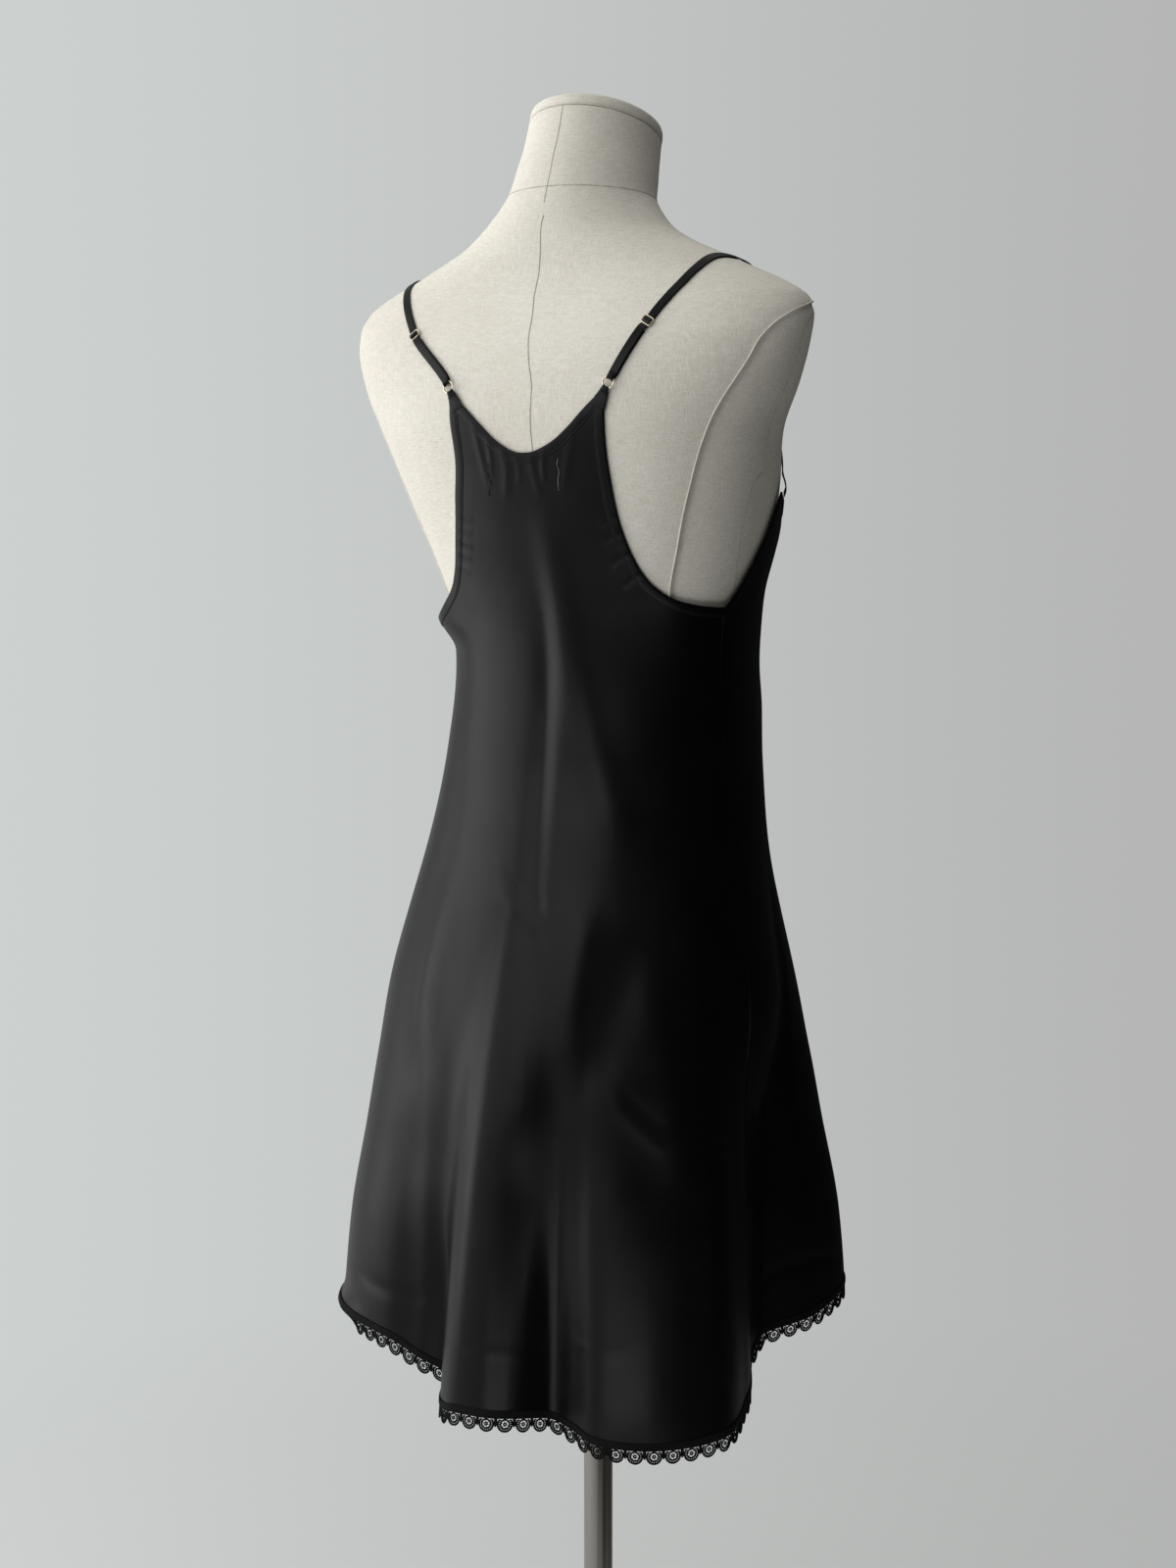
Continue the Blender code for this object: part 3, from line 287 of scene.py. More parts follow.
# Soft creases: width and depth in millimetres, the depth positive for a ridge and negative for a
# trough, and then the angle and height of each point of its path.
CREASE_ROWS = (
    # centre back: a ridge that falls from the neckline with a soft valley on its left, and the
    # longer ridge that runs out from it over the right hip
    (15, 3, 9, 1.16, 14, 1.065, 23, 0.988, 33, 0.935, 42, 0.88),
    (10, -1.9, 2, 1.13, -1, 1.04, -1, 0.965, 2, 0.88, 5, 0.8, 5, 0.72),
    (12, 1.3, 8, 1.185, 8, 1.13, 8.5, 1.065, 10, 0.965, 13, 0.87),
    # hips and skirt, back
    (15, 2.4, 27, 0.87, 22, 0.81, 20, 0.765, 20, 0.7),
    (20, -2.4, 47, 0.85, 38, 0.793, 32, 0.755, 26, 0.7),
    (18, 2.2, 43, 0.85, 47, 0.763, 49, 0.7, 51, 0.62),
    (22, 5.5, -42, 0.9, -38, 0.77, -31, 0.7, -28, 0.62, -26, 0.54),
    (16, -3.5, -43, 0.7, -40, 0.62, -39, 0.56, -38, 0.5, -38, 0.42),
    (18, -5.5, 6, 0.7, 7, 0.64, 9, 0.575, 10.5, 0.51, 11.5, 0.45, 12, 0.38),
    (26, 3, 36, 0.68, 37, 0.6, 37, 0.5, 37, 0.42),
    # front
    (16, 2.2, 152, 1.11, 160, 1.04, 166, 0.97, 172, 0.89),
    (17, -2, 196, 1.1, 205, 1.01, 207, 0.93, 203, 0.85),
    (13, 1.8, 226, 1.06, 219, 0.985, 216, 0.9),
    (12, 1.6, 122, 1.04, 129, 0.96, 131, 0.87),
    (20, -2.6, 146, 0.86, 156, 0.78, 160, 0.7, 158, 0.6),
    (19, 2.6, 188, 0.85, 184, 0.76, 181, 0.66, 183, 0.56),
    # small wrinkles over the hips
    (6, 0.5, -19, 0.868, -2, 0.848, 11, 0.829),
    (5, -0.4, -16, 0.885, 0, 0.862, 10, 0.85),
    (6, 0.5, 168, 0.872, 181, 0.861, 196, 0.866),
    (5, -0.5, 204, 0.742, 213, 0.722, 224, 0.713),
    (4.5, 0.6, 32, 0.711, 40, 0.688, 48, 0.665),
    (4, -0.5, 35, 0.722, 42, 0.7, 49, 0.684),
    # creases near the hem
    (6, -1.3, -60, 0.535, -41, 0.521, -30, 0.519),
    (6, -1.3, 103, 0.52, 113, 0.536, 128, 0.526),
    (4, 0.4, -5, 0.503, 5, 0.509, 16, 0.496),
    (4, 0.35, 20, 0.52, 30, 0.516, 38, 0.522),
    (12, 5, -112, 0.503, -88, 0.497, -64, 0.49, -45, 0.487),
    # gathers under the neckline
    (2.6, 0.4, -25.5, 1.238, -22.5, 1.212, -20, 1.18),
    (2.1, 0.3, -18, 1.226, -17, 1.205, -18.5, 1.188),
    (3.4, 0.38, -11, 1.216, -9, 1.2, -12.5, 1.168),
    (2.4, 0.2, -3, 1.211, -2, 1.197, -3.5, 1.182),
    (3, 0.3, 5, 1.21, 5.5, 1.196, 8, 1.17),
    (2.1, 0.4, 13, 1.214, 11, 1.199, 10.5, 1.184),
    (3.2, 0.42, 29, 1.234, 24, 1.205, 18, 1.172),
    # gathers at the two ends of the front neckline and along its armhole bands
    (2.4, 0.35, 116, 1.158, 119, 1.146, 123, 1.13),
    (2.1, 0.3, 132, 1.15, 134, 1.138, 136, 1.126),
    (2.2, 0.35, 229, 1.149, 227, 1.137, 225, 1.121),
    (2.5, 0.3, 243, 1.158, 241, 1.143, 238, 1.131),
    (1.7, 0.4, 97, 1.122, 102, 1.12, 106, 1.114),
    (1.6, 0.4, 260, 1.126, 255.5, 1.123, 251, 1.116),
    # gathers along the two back armhole bands
    (1.7, 0.5, -41.5, 1.163, -36, 1.161, -31, 1.156),
    (1.6, 0.5, -43, 1.153, -37.5, 1.15, -33, 1.146),
    (1.7, 0.6, -44.5, 1.144, -39, 1.14, -35, 1.135),
    (1.6, 0.5, -46.5, 1.133, -41, 1.13, -37, 1.126),
    (1.7, 0.4, -49, 1.121, -43.5, 1.119, -40, 1.114),
    (1.7, 0.5, 42, 1.16, 36.5, 1.157, 32, 1.151),
    (1.6, 0.4, 43, 1.148, 37.5, 1.144, 33, 1.138),
    (1.7, 0.5, 45.5, 1.132, 40, 1.127, 36, 1.119),
    (1.7, 0.4, 49, 1.117, 44, 1.11, 41, 1.103),
)
CREASE_FADE = 0.25       # share of a crease's length over which each end fades


# ---- surfaces
def section_radius(table, angle, height):
    """Distance from the middle to a level section's edge, at an angle from the centre back."""
    turn = np.radians(angle)
    depth = np.where(np.cos(turn) > 0, table.at("back", height), table.at("front", height))
    power = table.at("squareness", height)
    sideways = np.abs(np.sin(turn)) / table.at("half_width", height)
    lengthways = np.abs(np.cos(turn)) / depth
    return (sideways ** power + lengthways ** power) ** (-1 / power)


def smooth_step(value):
    value = np.clip(value, 0.0, 1.0)
    return value * value * (3 - 2 * value)


def whole_turn(angle):
    """The same direction, from -180 to 180."""
    return (angle + 180.0) % 360.0 - 180.0


def fold_depth(angle, height):
    """How far the folds move free cloth out; they are deepest at the hem."""
    angle = whole_turn(angle)
    tip, fades_at = HEM.at("tip_height", angle), HEM.at("fades_at", angle)
    depth = HEM.at("radius", angle) - section_radius(DRAPE, angle, tip)
    depth = depth * smooth_step((fades_at - height) / (fades_at - tip))
    away = np.minimum(np.abs(angle - UNDERARM_ANGLE) / UNDERARM_REACH, 1.0)
    low, high = UNDERARM_HEIGHTS
    stand = UNDERARM_STAND * np.cos(away * math.pi / 2) ** 2
    return depth + stand * smooth_step((height - low) / (high - low))


def smooth_path(path, steps=8):
    """A soft curve through a path's angles and heights, and how far along it each spot is."""
    path = np.reshape(np.array(path, float), (-1, 2))
    along = np.linspace(0.0, 1.0, len(path))
    curve = Table("along angle height", np.column_stack([along, path]))
    fine = np.linspace(0.0, 1.0, steps * (len(path) - 1) + 1)
    return curve.at("angle", fine), curve.at("height", fine), fine


class Crease:
    """A soft ridge or trough along a path, laid out flat on the cloth round its middle."""

    def __init__(self, width, depth, *path):
        self.width, self.depth = width / 1000, depth / 1000
        angle, self.z, self.along = smooth_path(path)
        middle = len(angle) // 2
        self.angle = angle[middle]
        self.reach = math.radians(1) * float(section_radius(DRAPE, self.angle, self.z[middle]))
        self.x = (angle - self.angle) * self.reach
        margin = 3 * self.width
        self.low, self.high = self.z.min() - margin, self.z.max() + margin
        self.span = np.abs(self.x).max() + margin

    def add_to(self, total, angle, height):
        x = whole_turn(angle - self.angle) * self.reach
        near = (height > self.low) & (height < self.high) & (np.abs(x) < self.span)
        if not near.any():
            return
        x, z = x[near], height[near]
        best, where = np.full(x.shape, np.inf), np.zeros(x.shape)
        for i in range(len(self.x) - 1):
            dx, dz = self.x[i + 1] - self.x[i], self.z[i + 1] - self.z[i]
            share = ((x - self.x[i]) * dx + (z - self.z[i]) * dz) / (dx * dx + dz * dz)
            share = np.clip(share, 0.0, 1.0)
            away = (x - self.x[i] - share * dx) ** 2 + (z - self.z[i] - share * dz) ** 2
            along = self.along[i] + share * (self.along[i + 1] - self.along[i])
            where = np.where(away < best, along, where)
            best = np.minimum(away, best)
        ends = smooth_step(where / CREASE_FADE) * smooth_step((1 - where) / CREASE_FADE)
        total[near] += self.depth * ends * np.exp(-best / self.width ** 2)


CREASES = [Crease(*row) for row in CREASE_ROWS]


def cloth_radius(angle, height):
    """Inner face of the cloth: free cloth with folds and creases, held off by the form."""
    angle, height = np.broadcast_arrays(np.asarray(angle, float), np.asarray(height, float))
    crease = np.zeros(angle.shape)
    for row in CREASES:
        row.add_to(crease, angle, height)
    free = section_radius(DRAPE, angle, height) + fold_depth(angle, height)
    free = free + np.minimum(crease, 0.0)
    held = section_radius(FORM, angle, np.maximum(height, FORM_BOTTOM)) + REST_GAP
    held = held - HOLD_SLOPE * np.maximum(FORM_BOTTOM - height, 0.0)
    return (free + held + np.hypot(free - held, BLEND)) / 2 + np.maximum(crease, 0.0)


def xyz(x, y, z):
    return np.stack(np.broadcast_arrays(x, y, z), -1)


def middle_at(height):
    return xyz(SPINE.at("centre_x", height), SPINE.at("centre_y", height), height)


def around(radius, angle, height):
    turn = np.radians(angle)
    aside = xyz(-np.sin(turn), np.cos(turn), 0.0)
    return middle_at(height) + np.asarray(radius)[..., None] * aside


def unit(vectors):
    return vectors / np.maximum(np.linalg.norm(vectors, axis=-1, keepdims=True), 1e-12)


def line_lengths(line):
    """Length of a line up to each of its points."""
    return np.concatenate([[0.0], np.cumsum(np.linalg.norm(np.diff(line, axis=0), axis=1))])


def read_line(at, lengths, vectors):
    """The vectors along a line, read at some lengths."""
    return np.stack([np.interp(at, lengths, vectors[:, i]) for i in range(3)], -1)


def cloth_place(angle, height):
    return around(cloth_radius(angle, height), angle, height)


def cloth_normal(angle, height):
    turn_step, height_step = 0.4, 0.001
    across = cloth_place(angle + turn_step, height) - cloth_place(angle - turn_step, height)
    upward = cloth_place(angle, height + height_step) - cloth_place(angle, height - height_step)
    return unit(np.cross(across, upward))


def cloth_point(angle, height, lift=0.0):
    """Point of the cloth's inner face, moved out along the face's normal by lift."""
    return cloth_place(angle, height) + np.asarray(lift)[..., None] * cloth_normal(angle, height)


def onto_cloth(place, near):
    """Angle and height of the cloth under points, the angles within half a turn of near."""
    aside = place - middle_at(place[..., 2])
    angle = np.degrees(np.arctan2(-aside[..., 0], aside[..., 1]))
    return near + whole_turn(angle - near), place[..., 2]


def hem_height(angle):
    """Height of the satin's lower edge."""
    return HEM.at("tip_height", whole_turn(angle)) + LACE_DROP


class Panel:
    """The back or front of the dress; `across` runs from -1 to 1 and `up` from 0 to 1."""
    SEAM_PART = 12 / 21      # share of `up` below the underarms
    CROWDING = 1.35          # the rows of that part lie closer together towards the underarms

    def __init__(self, first_edge, last_edge, middle, scoop):
        self.edges = (first_edge, last_edge)
        self.middle = middle
        self.scoop = scoop

    def row(self, across, along):
        """Angle and height on the row that ends at the armhole edges' point `along`."""
        first, last = (edge.at("angle", along) for edge in self.edges)
        middle = self.middle.at("height", along)
        end = np.where(across < 0, *(edge.at("height", along) for edge in self.edges))
        rise = np.where(across < 0, *(self.scoop.at(side, np.abs(across))
                                      for side in ("first", "last")))
        return first + (last - first) * (across + 1) / 2, middle + (end - middle) * rise

    def place(self, across, up):
        upper = np.maximum(up - self.SEAM_PART, 0.0) / (1 - self.SEAM_PART)
        angle, height = self.row(across, upper)
        low = hem_height(angle)
        share = 1 - (1 - np.minimum(up / self.SEAM_PART, 1.0)) ** self.CROWDING
        return angle, np.where(up >= self.SEAM_PART, height, low + (height - low) * share)

    def neckline_height(self, angle):
        first, last = (edge.at("angle", 1.0) for edge in self.edges)
        across = np.clip(2 * (angle - first) / (last - first) - 1, -1.0, 1.0)
        return self.row(across, 1.0)[1]


BACK = Panel(BACK_LEFT_EDGE, BACK_RIGHT_EDGE, BACK_MIDDLE, BACK_SCOOP)
FRONT = Panel(FRONT_RIGHT_EDGE, FRONT_LEFT_EDGE, FRONT_MIDDLE, FRONT_SCOOP)


# ---- building blocks
def add_piece(name, points, faces, finish, node=None, outward=False):
    """A mesh with its finish and, on a piece of the object, the CAD node that it stands for."""
    mesh = bpy.data.meshes.new(name)
    mesh.from_pydata(np.asarray(points).tolist(), [], faces)
    if outward:
        shape = bmesh.new()
        shape.from_mesh(mesh)
        bmesh.ops.recalc_face_normals(shape, faces=shape.faces)
        shape.to_mesh(mesh)
        shape.free()
    mesh.shade_smooth()
    mesh.materials.append(finish.material)
    piece = bpy.data.objects.new(name, mesh)
    bpy.context.scene.collection.objects.link(piece)
    if finish.slot:
        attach(piece, "root")
    if node:
        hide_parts(node)
    return piece


def grid_faces(rows, columns, start=0, wrap=False, closed=False):
    """Faces of a grid of points that is stored row by row.

    Wrap joins its last column to its first one, and closed its last row to its first one."""
    spots = start + np.arange(rows * columns).reshape(rows, columns)
    if wrap:
        spots = np.concatenate([spots, spots[:, :1]], 1)
    if closed:
        spots = np.concatenate([spots, spots[:1]])
    corners = [spots[:-1, :-1], spots[:-1, 1:], spots[1:, 1:], spots[1:, :-1]]
    return np.stack(corners, -1).reshape(-1, 4).tolist()


def shell_faces(rows, columns, start=0):
    """Faces of a thin closed wall: the outer grid's points come first, then the inner grid's."""
    count = rows * columns
    faces = grid_faces(rows, columns, start)
    faces += [face[::-1] for face in grid_faces(rows, columns, start + count)]
    spots = start + np.arange(count).reshape(rows, columns)
    border = np.concatenate([spots[0, :-1], spots[:-1, -1], spots[-1, :0:-1], spots[:0:-1, 0]])
    for here, there in zip(border.tolist(), np.roll(border, -1).tolist()):
        faces.append([there, here, here + count, there + count])
    return faces


def add_shell(name, inner, outer, finish, node=None):
    points = np.concatenate([outer.reshape(-1, 3), inner.reshape(-1, 3)])
    return add_piece(name, points, shell_faces(*inner.shape[:2]), finish, node)


def end_caps(rows, columns, start=0):
    """Faces that close the first and the last ring of a tube."""
    last = start + (rows - 1) * columns
    return [list(range(start, start + columns))[::-1], list(range(last, last + columns))]


def add_loft(name, rings, finish, node=None):
    """A closed body through rings of equal counts."""
    rows, columns = rings.shape[:2]
    faces = grid_faces(rows, columns, wrap=True) + end_caps(rows, columns)
    return add_piece(name, rings.reshape(-1, 3), faces, finish, node, outward=True)


class Strands:
    """Many round or flattened strands, gathered into one mesh."""

    def __init__(self):
        self.points, self.faces, self.count = [], [], 0

    def add(self, path, normals, radius, flat=0.8, sides=6, closed=False):
        """A strand along a path; flat is its thickness along the normals over its width."""
        path = np.asarray(path, float)
        normals = np.broadcast_to(normals, path.shape)
        if closed:
            forward = unit(np.roll(path, -1, 0) - np.roll(path, 1, 0))
        else:
            forward = unit(np.gradient(path, axis=0))
        side = unit(np.cross(forward, normals))
        rise = np.cross(forward, side)
        turns = 2 * math.pi * np.arange(sides) / sides
        radius = np.broadcast_to(radius, len(path))[:, None, None]
        ring = (path[:, None] + radius * (side[:, None] * np.cos(turns)[:, None]
                                          + flat * rise[:, None] * np.sin(turns)[:, None]))
        self.faces += grid_faces(len(path), sides, self.count, True, closed)
        if not closed:
            self.faces += end_caps(len(path), sides, self.count)
        self.points.append(ring.reshape(-1, 3))
        self.count += len(path) * sides

    def add_wall(self, inner, outer):
        self.points += [outer.reshape(-1, 3), inner.reshape(-1, 3)]
        self.faces += shell_faces(*inner.shape[:2], self.count)
        self.count += 2 * inner.shape[0] * inner.shape[1]

    def make(self, name, finish, node=None):
        return add_piece(name, np.concatenate(self.points), self.faces, finish, node)


# ---- materials
class Nodes:
    """A node tree being put together."""

    def __init__(self, tree):
        self.nodes, self.links = tree.nodes, tree.links

    def add(self, kind, inputs, output=0, **settings):
        """A node with its settings and inputs, each a value or another node's output."""
        node = self.nodes.new("ShaderNode" + kind)
        for name, value in settings.items():
            setattr(node, name, value)
        for socket, value in inputs.items():
            self.feed(node.inputs[socket], value)
        return node.outputs[output] if len(node.outputs) else None

    def feed(self, socket, value):
        if isinstance(value, bpy.types.NodeSocket):
            self.links.new(value, socket)
        else:
            socket.default_value = value

    def spread(self, value, low, high, start=0.3, end=0.7, **settings):
        """A value's range from start to end, spread over new limits."""
        return self.add("MapRange", {"Value": value, "From Min": start, "From Max": end,
                                     "To Min": low, "To Max": high}, **settings)

    def mixed(self, share, first, last):
        first, last = ((*colour, 1.0) if isinstance(colour, tuple) else colour
                       for colour in (first, last))
        return self.add("Mix", {"Factor": share, "A": first, "B": last}, "Result",
                        data_type="RGBA")


class Finish(Nodes):
    """A material for pieces of one slot, being put together on its Principled shader."""

    def __init__(self, name, slot, colour, roughness, **sockets):
        self.slot = slot
        self.material = bpy.data.materials.new(name)
        self.material.use_nodes = True
        self.material.diffuse_color = (*colour, 1.0)
        super().__init__(self.material.node_tree)
        self.shader = self.nodes["Principled BSDF"].inputs
        sockets = {"Base_Color": (*colour, 1.0), "Roughness": roughness, **sockets}
        for socket, value in sockets.items():
            self.shader[socket.replace("_", " ")].default_value = value
        self.place = self.add("TexCoord", {}, "Object")
        self.normal = None

    def noise(self, scale, detail=2, stretch=(1, 1, 1)):
        place = self.add("Mapping", {"Vector": self.place, "Scale": stretch})
        return self.add("TexNoise", {"Vector": place, "Scale": scale, "Detail": detail})

    def colours(self, value, dark, light, *ends):
        self.feed(self.shader["Base Color"],
                  self.mixed(self.spread(value, 0.0, 1.0, *ends), dark, light))

    def bump(self, value, distance):
        """Raise the surface by a value, on top of the bumps that are there."""
        inputs = {"Strength": 1.0, "Distance": distance, "Height": value}
        if self.normal:
            inputs["Normal"] = self.normal
        self.normal = self.add("Bump", inputs)
        self.feed(self.shader["Normal"], self.normal)


def make_finish(name, slot, colour, roughness, colours=None, roughs=None, bumps=(), **sockets):
    """A finish whose noises are given as (scale, detail, stretch).

    Colours are (noise, dark, light) and at times the noise's range, roughs (noise, low, high), and
    each of the bumps (noise, depth)."""
    made = Finish(name, slot, colour, roughness, **sockets)
    if colours:
        made.colours(made.noise(*colours[0]), *colours[1:])
    if roughs:
        noise, low, high = roughs
        made.feed(made.shader["Roughness"], made.spread(made.noise(*noise), low, high))
    for noise, distance in bumps:
        made.bump(made.noise(*noise), distance)
    return made


SATIN_FINISH = make_finish(
    "black_satin", "black_satin", (0.0018, 0.0018, 0.0022), 0.34, Specular_IOR_Level=0.16,
    colours=((35, 3), (0.0014, 0.0014, 0.0018), (0.0023, 0.0023, 0.0028)),
    roughs=((22, 3), 0.32, 0.37),
    bumps=(((9, 2, (1, 1, 0.35)), 0.0012), ((46, 3, (1, 1, 0.6)), 0.00018),
           ((1500, 1, (1, 1, 0.35)), 0.00003)))
LACE_FINISH = make_finish(
    "black_lace", "black_lace", (0.003, 0.003, 0.0035), 0.80, Specular_IOR_Level=0.12,
    colours=((600, 2), (0.002, 0.002, 0.0025), (0.0045, 0.0045, 0.005)),
    bumps=(((1900, 2), 0.00012),))
THREAD_FINISH = make_finish(
    "black_thread", "black_satin", (0.008, 0.008, 0.009), 0.55, Specular_IOR_Level=0.40,
    roughs=((300, 1), 0.45, 0.62), bumps=(((2500, 1), 0.00005),))
LOOSE_THREAD_FINISH = make_finish(
    "grey_thread", "black_satin", (0.20, 0.19, 0.16), 0.60,
    colours=((700, 2), (0.05, 0.05, 0.045), (0.42, 0.40, 0.33)),
    bumps=(((2500, 1), 0.00004),))
CORD_FINISH = make_finish(
    "linen_cord", "cream_linen", (0.76, 0.725, 0.64), 0.88,
    colours=((60, 3), (0.71, 0.675, 0.59), (0.80, 0.765, 0.685)),
    bumps=(((1, 2, (900, 900, 900)), 0.0002),))
# Thin seam lines on the form, darker than the linen: partly their stitching, partly painted shade
# of the seam's groove.
SEAM_PAINTED_SHADE_FINISH = make_finish(
    "linen_seam_painted_shade", "cream_linen", (0.44, 0.41, 0.34), 0.90,
    colours=((160, 3), (0.34, 0.31, 0.26), (0.58, 0.545, 0.46)),
    bumps=(((1, 2, (900, 900, 900)), 0.0002),))
WOOD_FINISH = make_finish(
    "varnished_wood", "varnished_wood", (0.30, 0.19, 0.10), 0.45, Coat_Weight=0.25,
    colours=((1, 5, (160, 160, 14)), (0.20, 0.12, 0.06), (0.38, 0.25, 0.14)),
    bumps=(((1, 3, (500, 500, 30)), 0.00008),))
# Steel of the pole and boss: its vertical dark and light bands of colour are painted reflection
# streaks.
STEEL_PAINTED_REFLECTION_FINISH = make_finish(
    "brushed_steel", "brushed_steel", (0.20, 0.19, 0.18), 0.16, Metallic=1.0,
    colours=((1, 2, (95, 95, 1.5)), (0.07, 0.065, 0.055), (0.32, 0.31, 0.29), 0.40, 0.60),
    roughs=((1, 3, (900, 900, 9)), 0.12, 0.24), bumps=(((1, 3, (900, 900, 9)), 0.00002),))
BASE_FINISH = make_finish(
    "brushed_base", "brushed_steel", (0.24, 0.235, 0.225), 0.34, Metallic=1.0,
    colours=((9, 2), (0.215, 0.21, 0.20), (0.26, 0.255, 0.245)),
    roughs=((30, 3), 0.30, 0.38), bumps=(((1, 3, (14, 1100, 40)), 0.00002),))
GILT_FINISH = make_finish(
    "pale_gilt", "pale_gilt", (0.72, 0.63, 0.48), 0.22, Metallic=1.0,
    colours=((400, 2), (0.62, 0.53, 0.38), (0.80, 0.73, 0.59)),
    roughs=((700, 2), 0.16, 0.30), bumps=(((900, 1), 0.00002),))


def linen_finish():
    """Plain weave with slubs, in which the threads of both directions show."""
    made = Finish("cream_linen", "cream_linen", (0.80, 0.765, 0.685), 0.90, Sheen_Weight=0.08)
    weft, warp = (made.noise(1, 2, stretch) for stretch in ((150, 150, 1100), (1100, 1100, 150)))
    slubs = made.add("Math", {0: made.noise(7, 4), 1: weft})
    slubs = made.add("Math", {0: slubs, 1: warp})
    slubs = made.add("Math", {0: slubs, 1: 3}, operation="DIVIDE")
    made.colours(slubs, (0.700, 0.665, 0.580), (0.880, 0.850, 0.770), 0.38, 0.62)
    made.bump(weft, 0.00032)
    made.bump(warp, 0.00028)
    made.bump(made.noise(16, 3), 0.0006)
    return made


LINEN_FINISH = linen_finish()

# ---- dress form
# The arm plates: where their seams run at each height, on both sides, and how far they lie in.
PLATE = Table("height back_seam front_seam",
    1.06, 59, 138,  1.098, 58.5, 139,  1.138, 60.4, 140,  1.184, 63.9, 139,  1.234, 69, 133,
    1.279, 75.8, 126,  1.293, 77.7, 123,  1.305, 80.6, 119,  1.313, 83.5, 115,  1.318, 86.5, 111,
    1.323, 92.3, 104)
PLATE_INSET = 0.0024
PLATE_EDGE = 1.8         # degrees over which the surface steps in
PLATE_FOOT, PLATE_FOOT_EDGE = 1.060, 0.020
PLATE_HEAD, PLATE_HEAD_EDGE = 1.326, 0.006
LEFT_PLATE_TURN = 9.0    # the left plate's back seam lies this much further round

# The seams down the middle and across a plate, as angles and heights.
CENTRE_SEAM = np.reshape((1.4, 1.394, -7.3, 1.363, -10.7, 1.336, -6.1, 1.315, 1, 1.284, 6, 1.255,
                          6, 1.216, 5, 1.16, 4, 1.1), (-1, 2))
PLATE_SEAM = np.reshape((91.7, 1.319, 88.6, 1.294, 88.6, 1.253, 89.1, 1.199, 84.9, 1.183,
                         83.8, 1.148, 86.3, 1.102), (-1, 2))
NECK_SEAM = 1.4127       # height of the seam round the foot of the neck
CORD_RADIUS, SEAM_RADIUS = 0.0009, 0.00042

# The rounded lower edge of the torso: rise and share of the full width.
BOTTOM_EDGE = ((0.0, 0.970), (0.0008, 0.984), (0.0024, 0.995))
# The cap on the neck: rise and share of the neck's width.
CAP_SECTION = ((0.0003, 0.985), (0.0006, 1.0), (0.004, 1.004), (0.0075, 1.0), (0.0095, 0.985),
               (0.0106, 0.955), (0.011, 0.90), (0.011, 0.60), (0.011, 0.25))


def plate_start(side, height):
    """Angle of a plate's back seam, on the right (1) or the left (-1) side."""
    return PLATE.at("back_seam", height) + LEFT_PLATE_TURN * (side < 0)


def plate_inset(angle, height):
    angle = whole_turn(angle)
    away = np.abs(angle)
    inside = smooth_step((away - plate_start(angle, height)) / PLATE_EDGE)
    inside = inside * smooth_step((PLATE.at("front_seam", height) - away) / PLATE_EDGE)
    foot = smooth_step((height - PLATE_FOOT) / PLATE_FOOT_EDGE)
    return PLATE_INSET * inside * foot * smooth_step((PLATE_HEAD - height) / PLATE_HEAD_EDGE)


def form_rings(heights):
    """Level rings of the torso, their points closest together where it turns sharply."""
    turns = 2 * math.pi * np.arange(FORM_SIDES) / FORM_SIDES
    side, length = np.cos(turns)[None], np.sin(turns)[None]
    heights = np.asarray(heights)[:, None]
    power = FORM.at("squareness", heights)
    depth = np.where(length > 0, FORM.at("back", heights), FORM.at("front", heights))
    x = FORM.at("half_width", heights) * np.sign(side) * np.abs(side) ** (2 / power)
    y = depth * np.sign(length) * np.abs(length) ** (2 / power)
    inset = plate_inset(np.degrees(np.arctan2(-x, y)), np.broadcast_to(heights, x.shape))
    stay = 1 - inset / np.hypot(x, y)
    return middle_at(heights) + xyz(x * stay, y * stay, 0.0)


def neck_ring(height, lift=0.0, shrink=1.0):
    """A ring of the neck; lift moves it along its own tilted axis."""
    tilt = math.radians(NECK.at("tilt", height))
    turns = 2 * math.pi * np.arange(FORM_SIDES) / FORM_SIDES
    x = NECK.at("radius", height) * shrink * np.cos(turns)
    y = NECK.at("depth", height) * shrink * np.sin(turns)
    centre = xyz(SPINE.at("centre_x", height), NECK.at("centre_y", height), height)
    return centre + xyz(x, y * math.cos(tilt) - lift * math.sin(tilt),
                        y * math.sin(tilt) + lift * math.cos(tilt))


def form_place(angle, height, lift=0.0):
    """Point of the torso's surface, moved straight out by lift."""
    return around(section_radius(FORM, angle, height) + lift, angle, height)


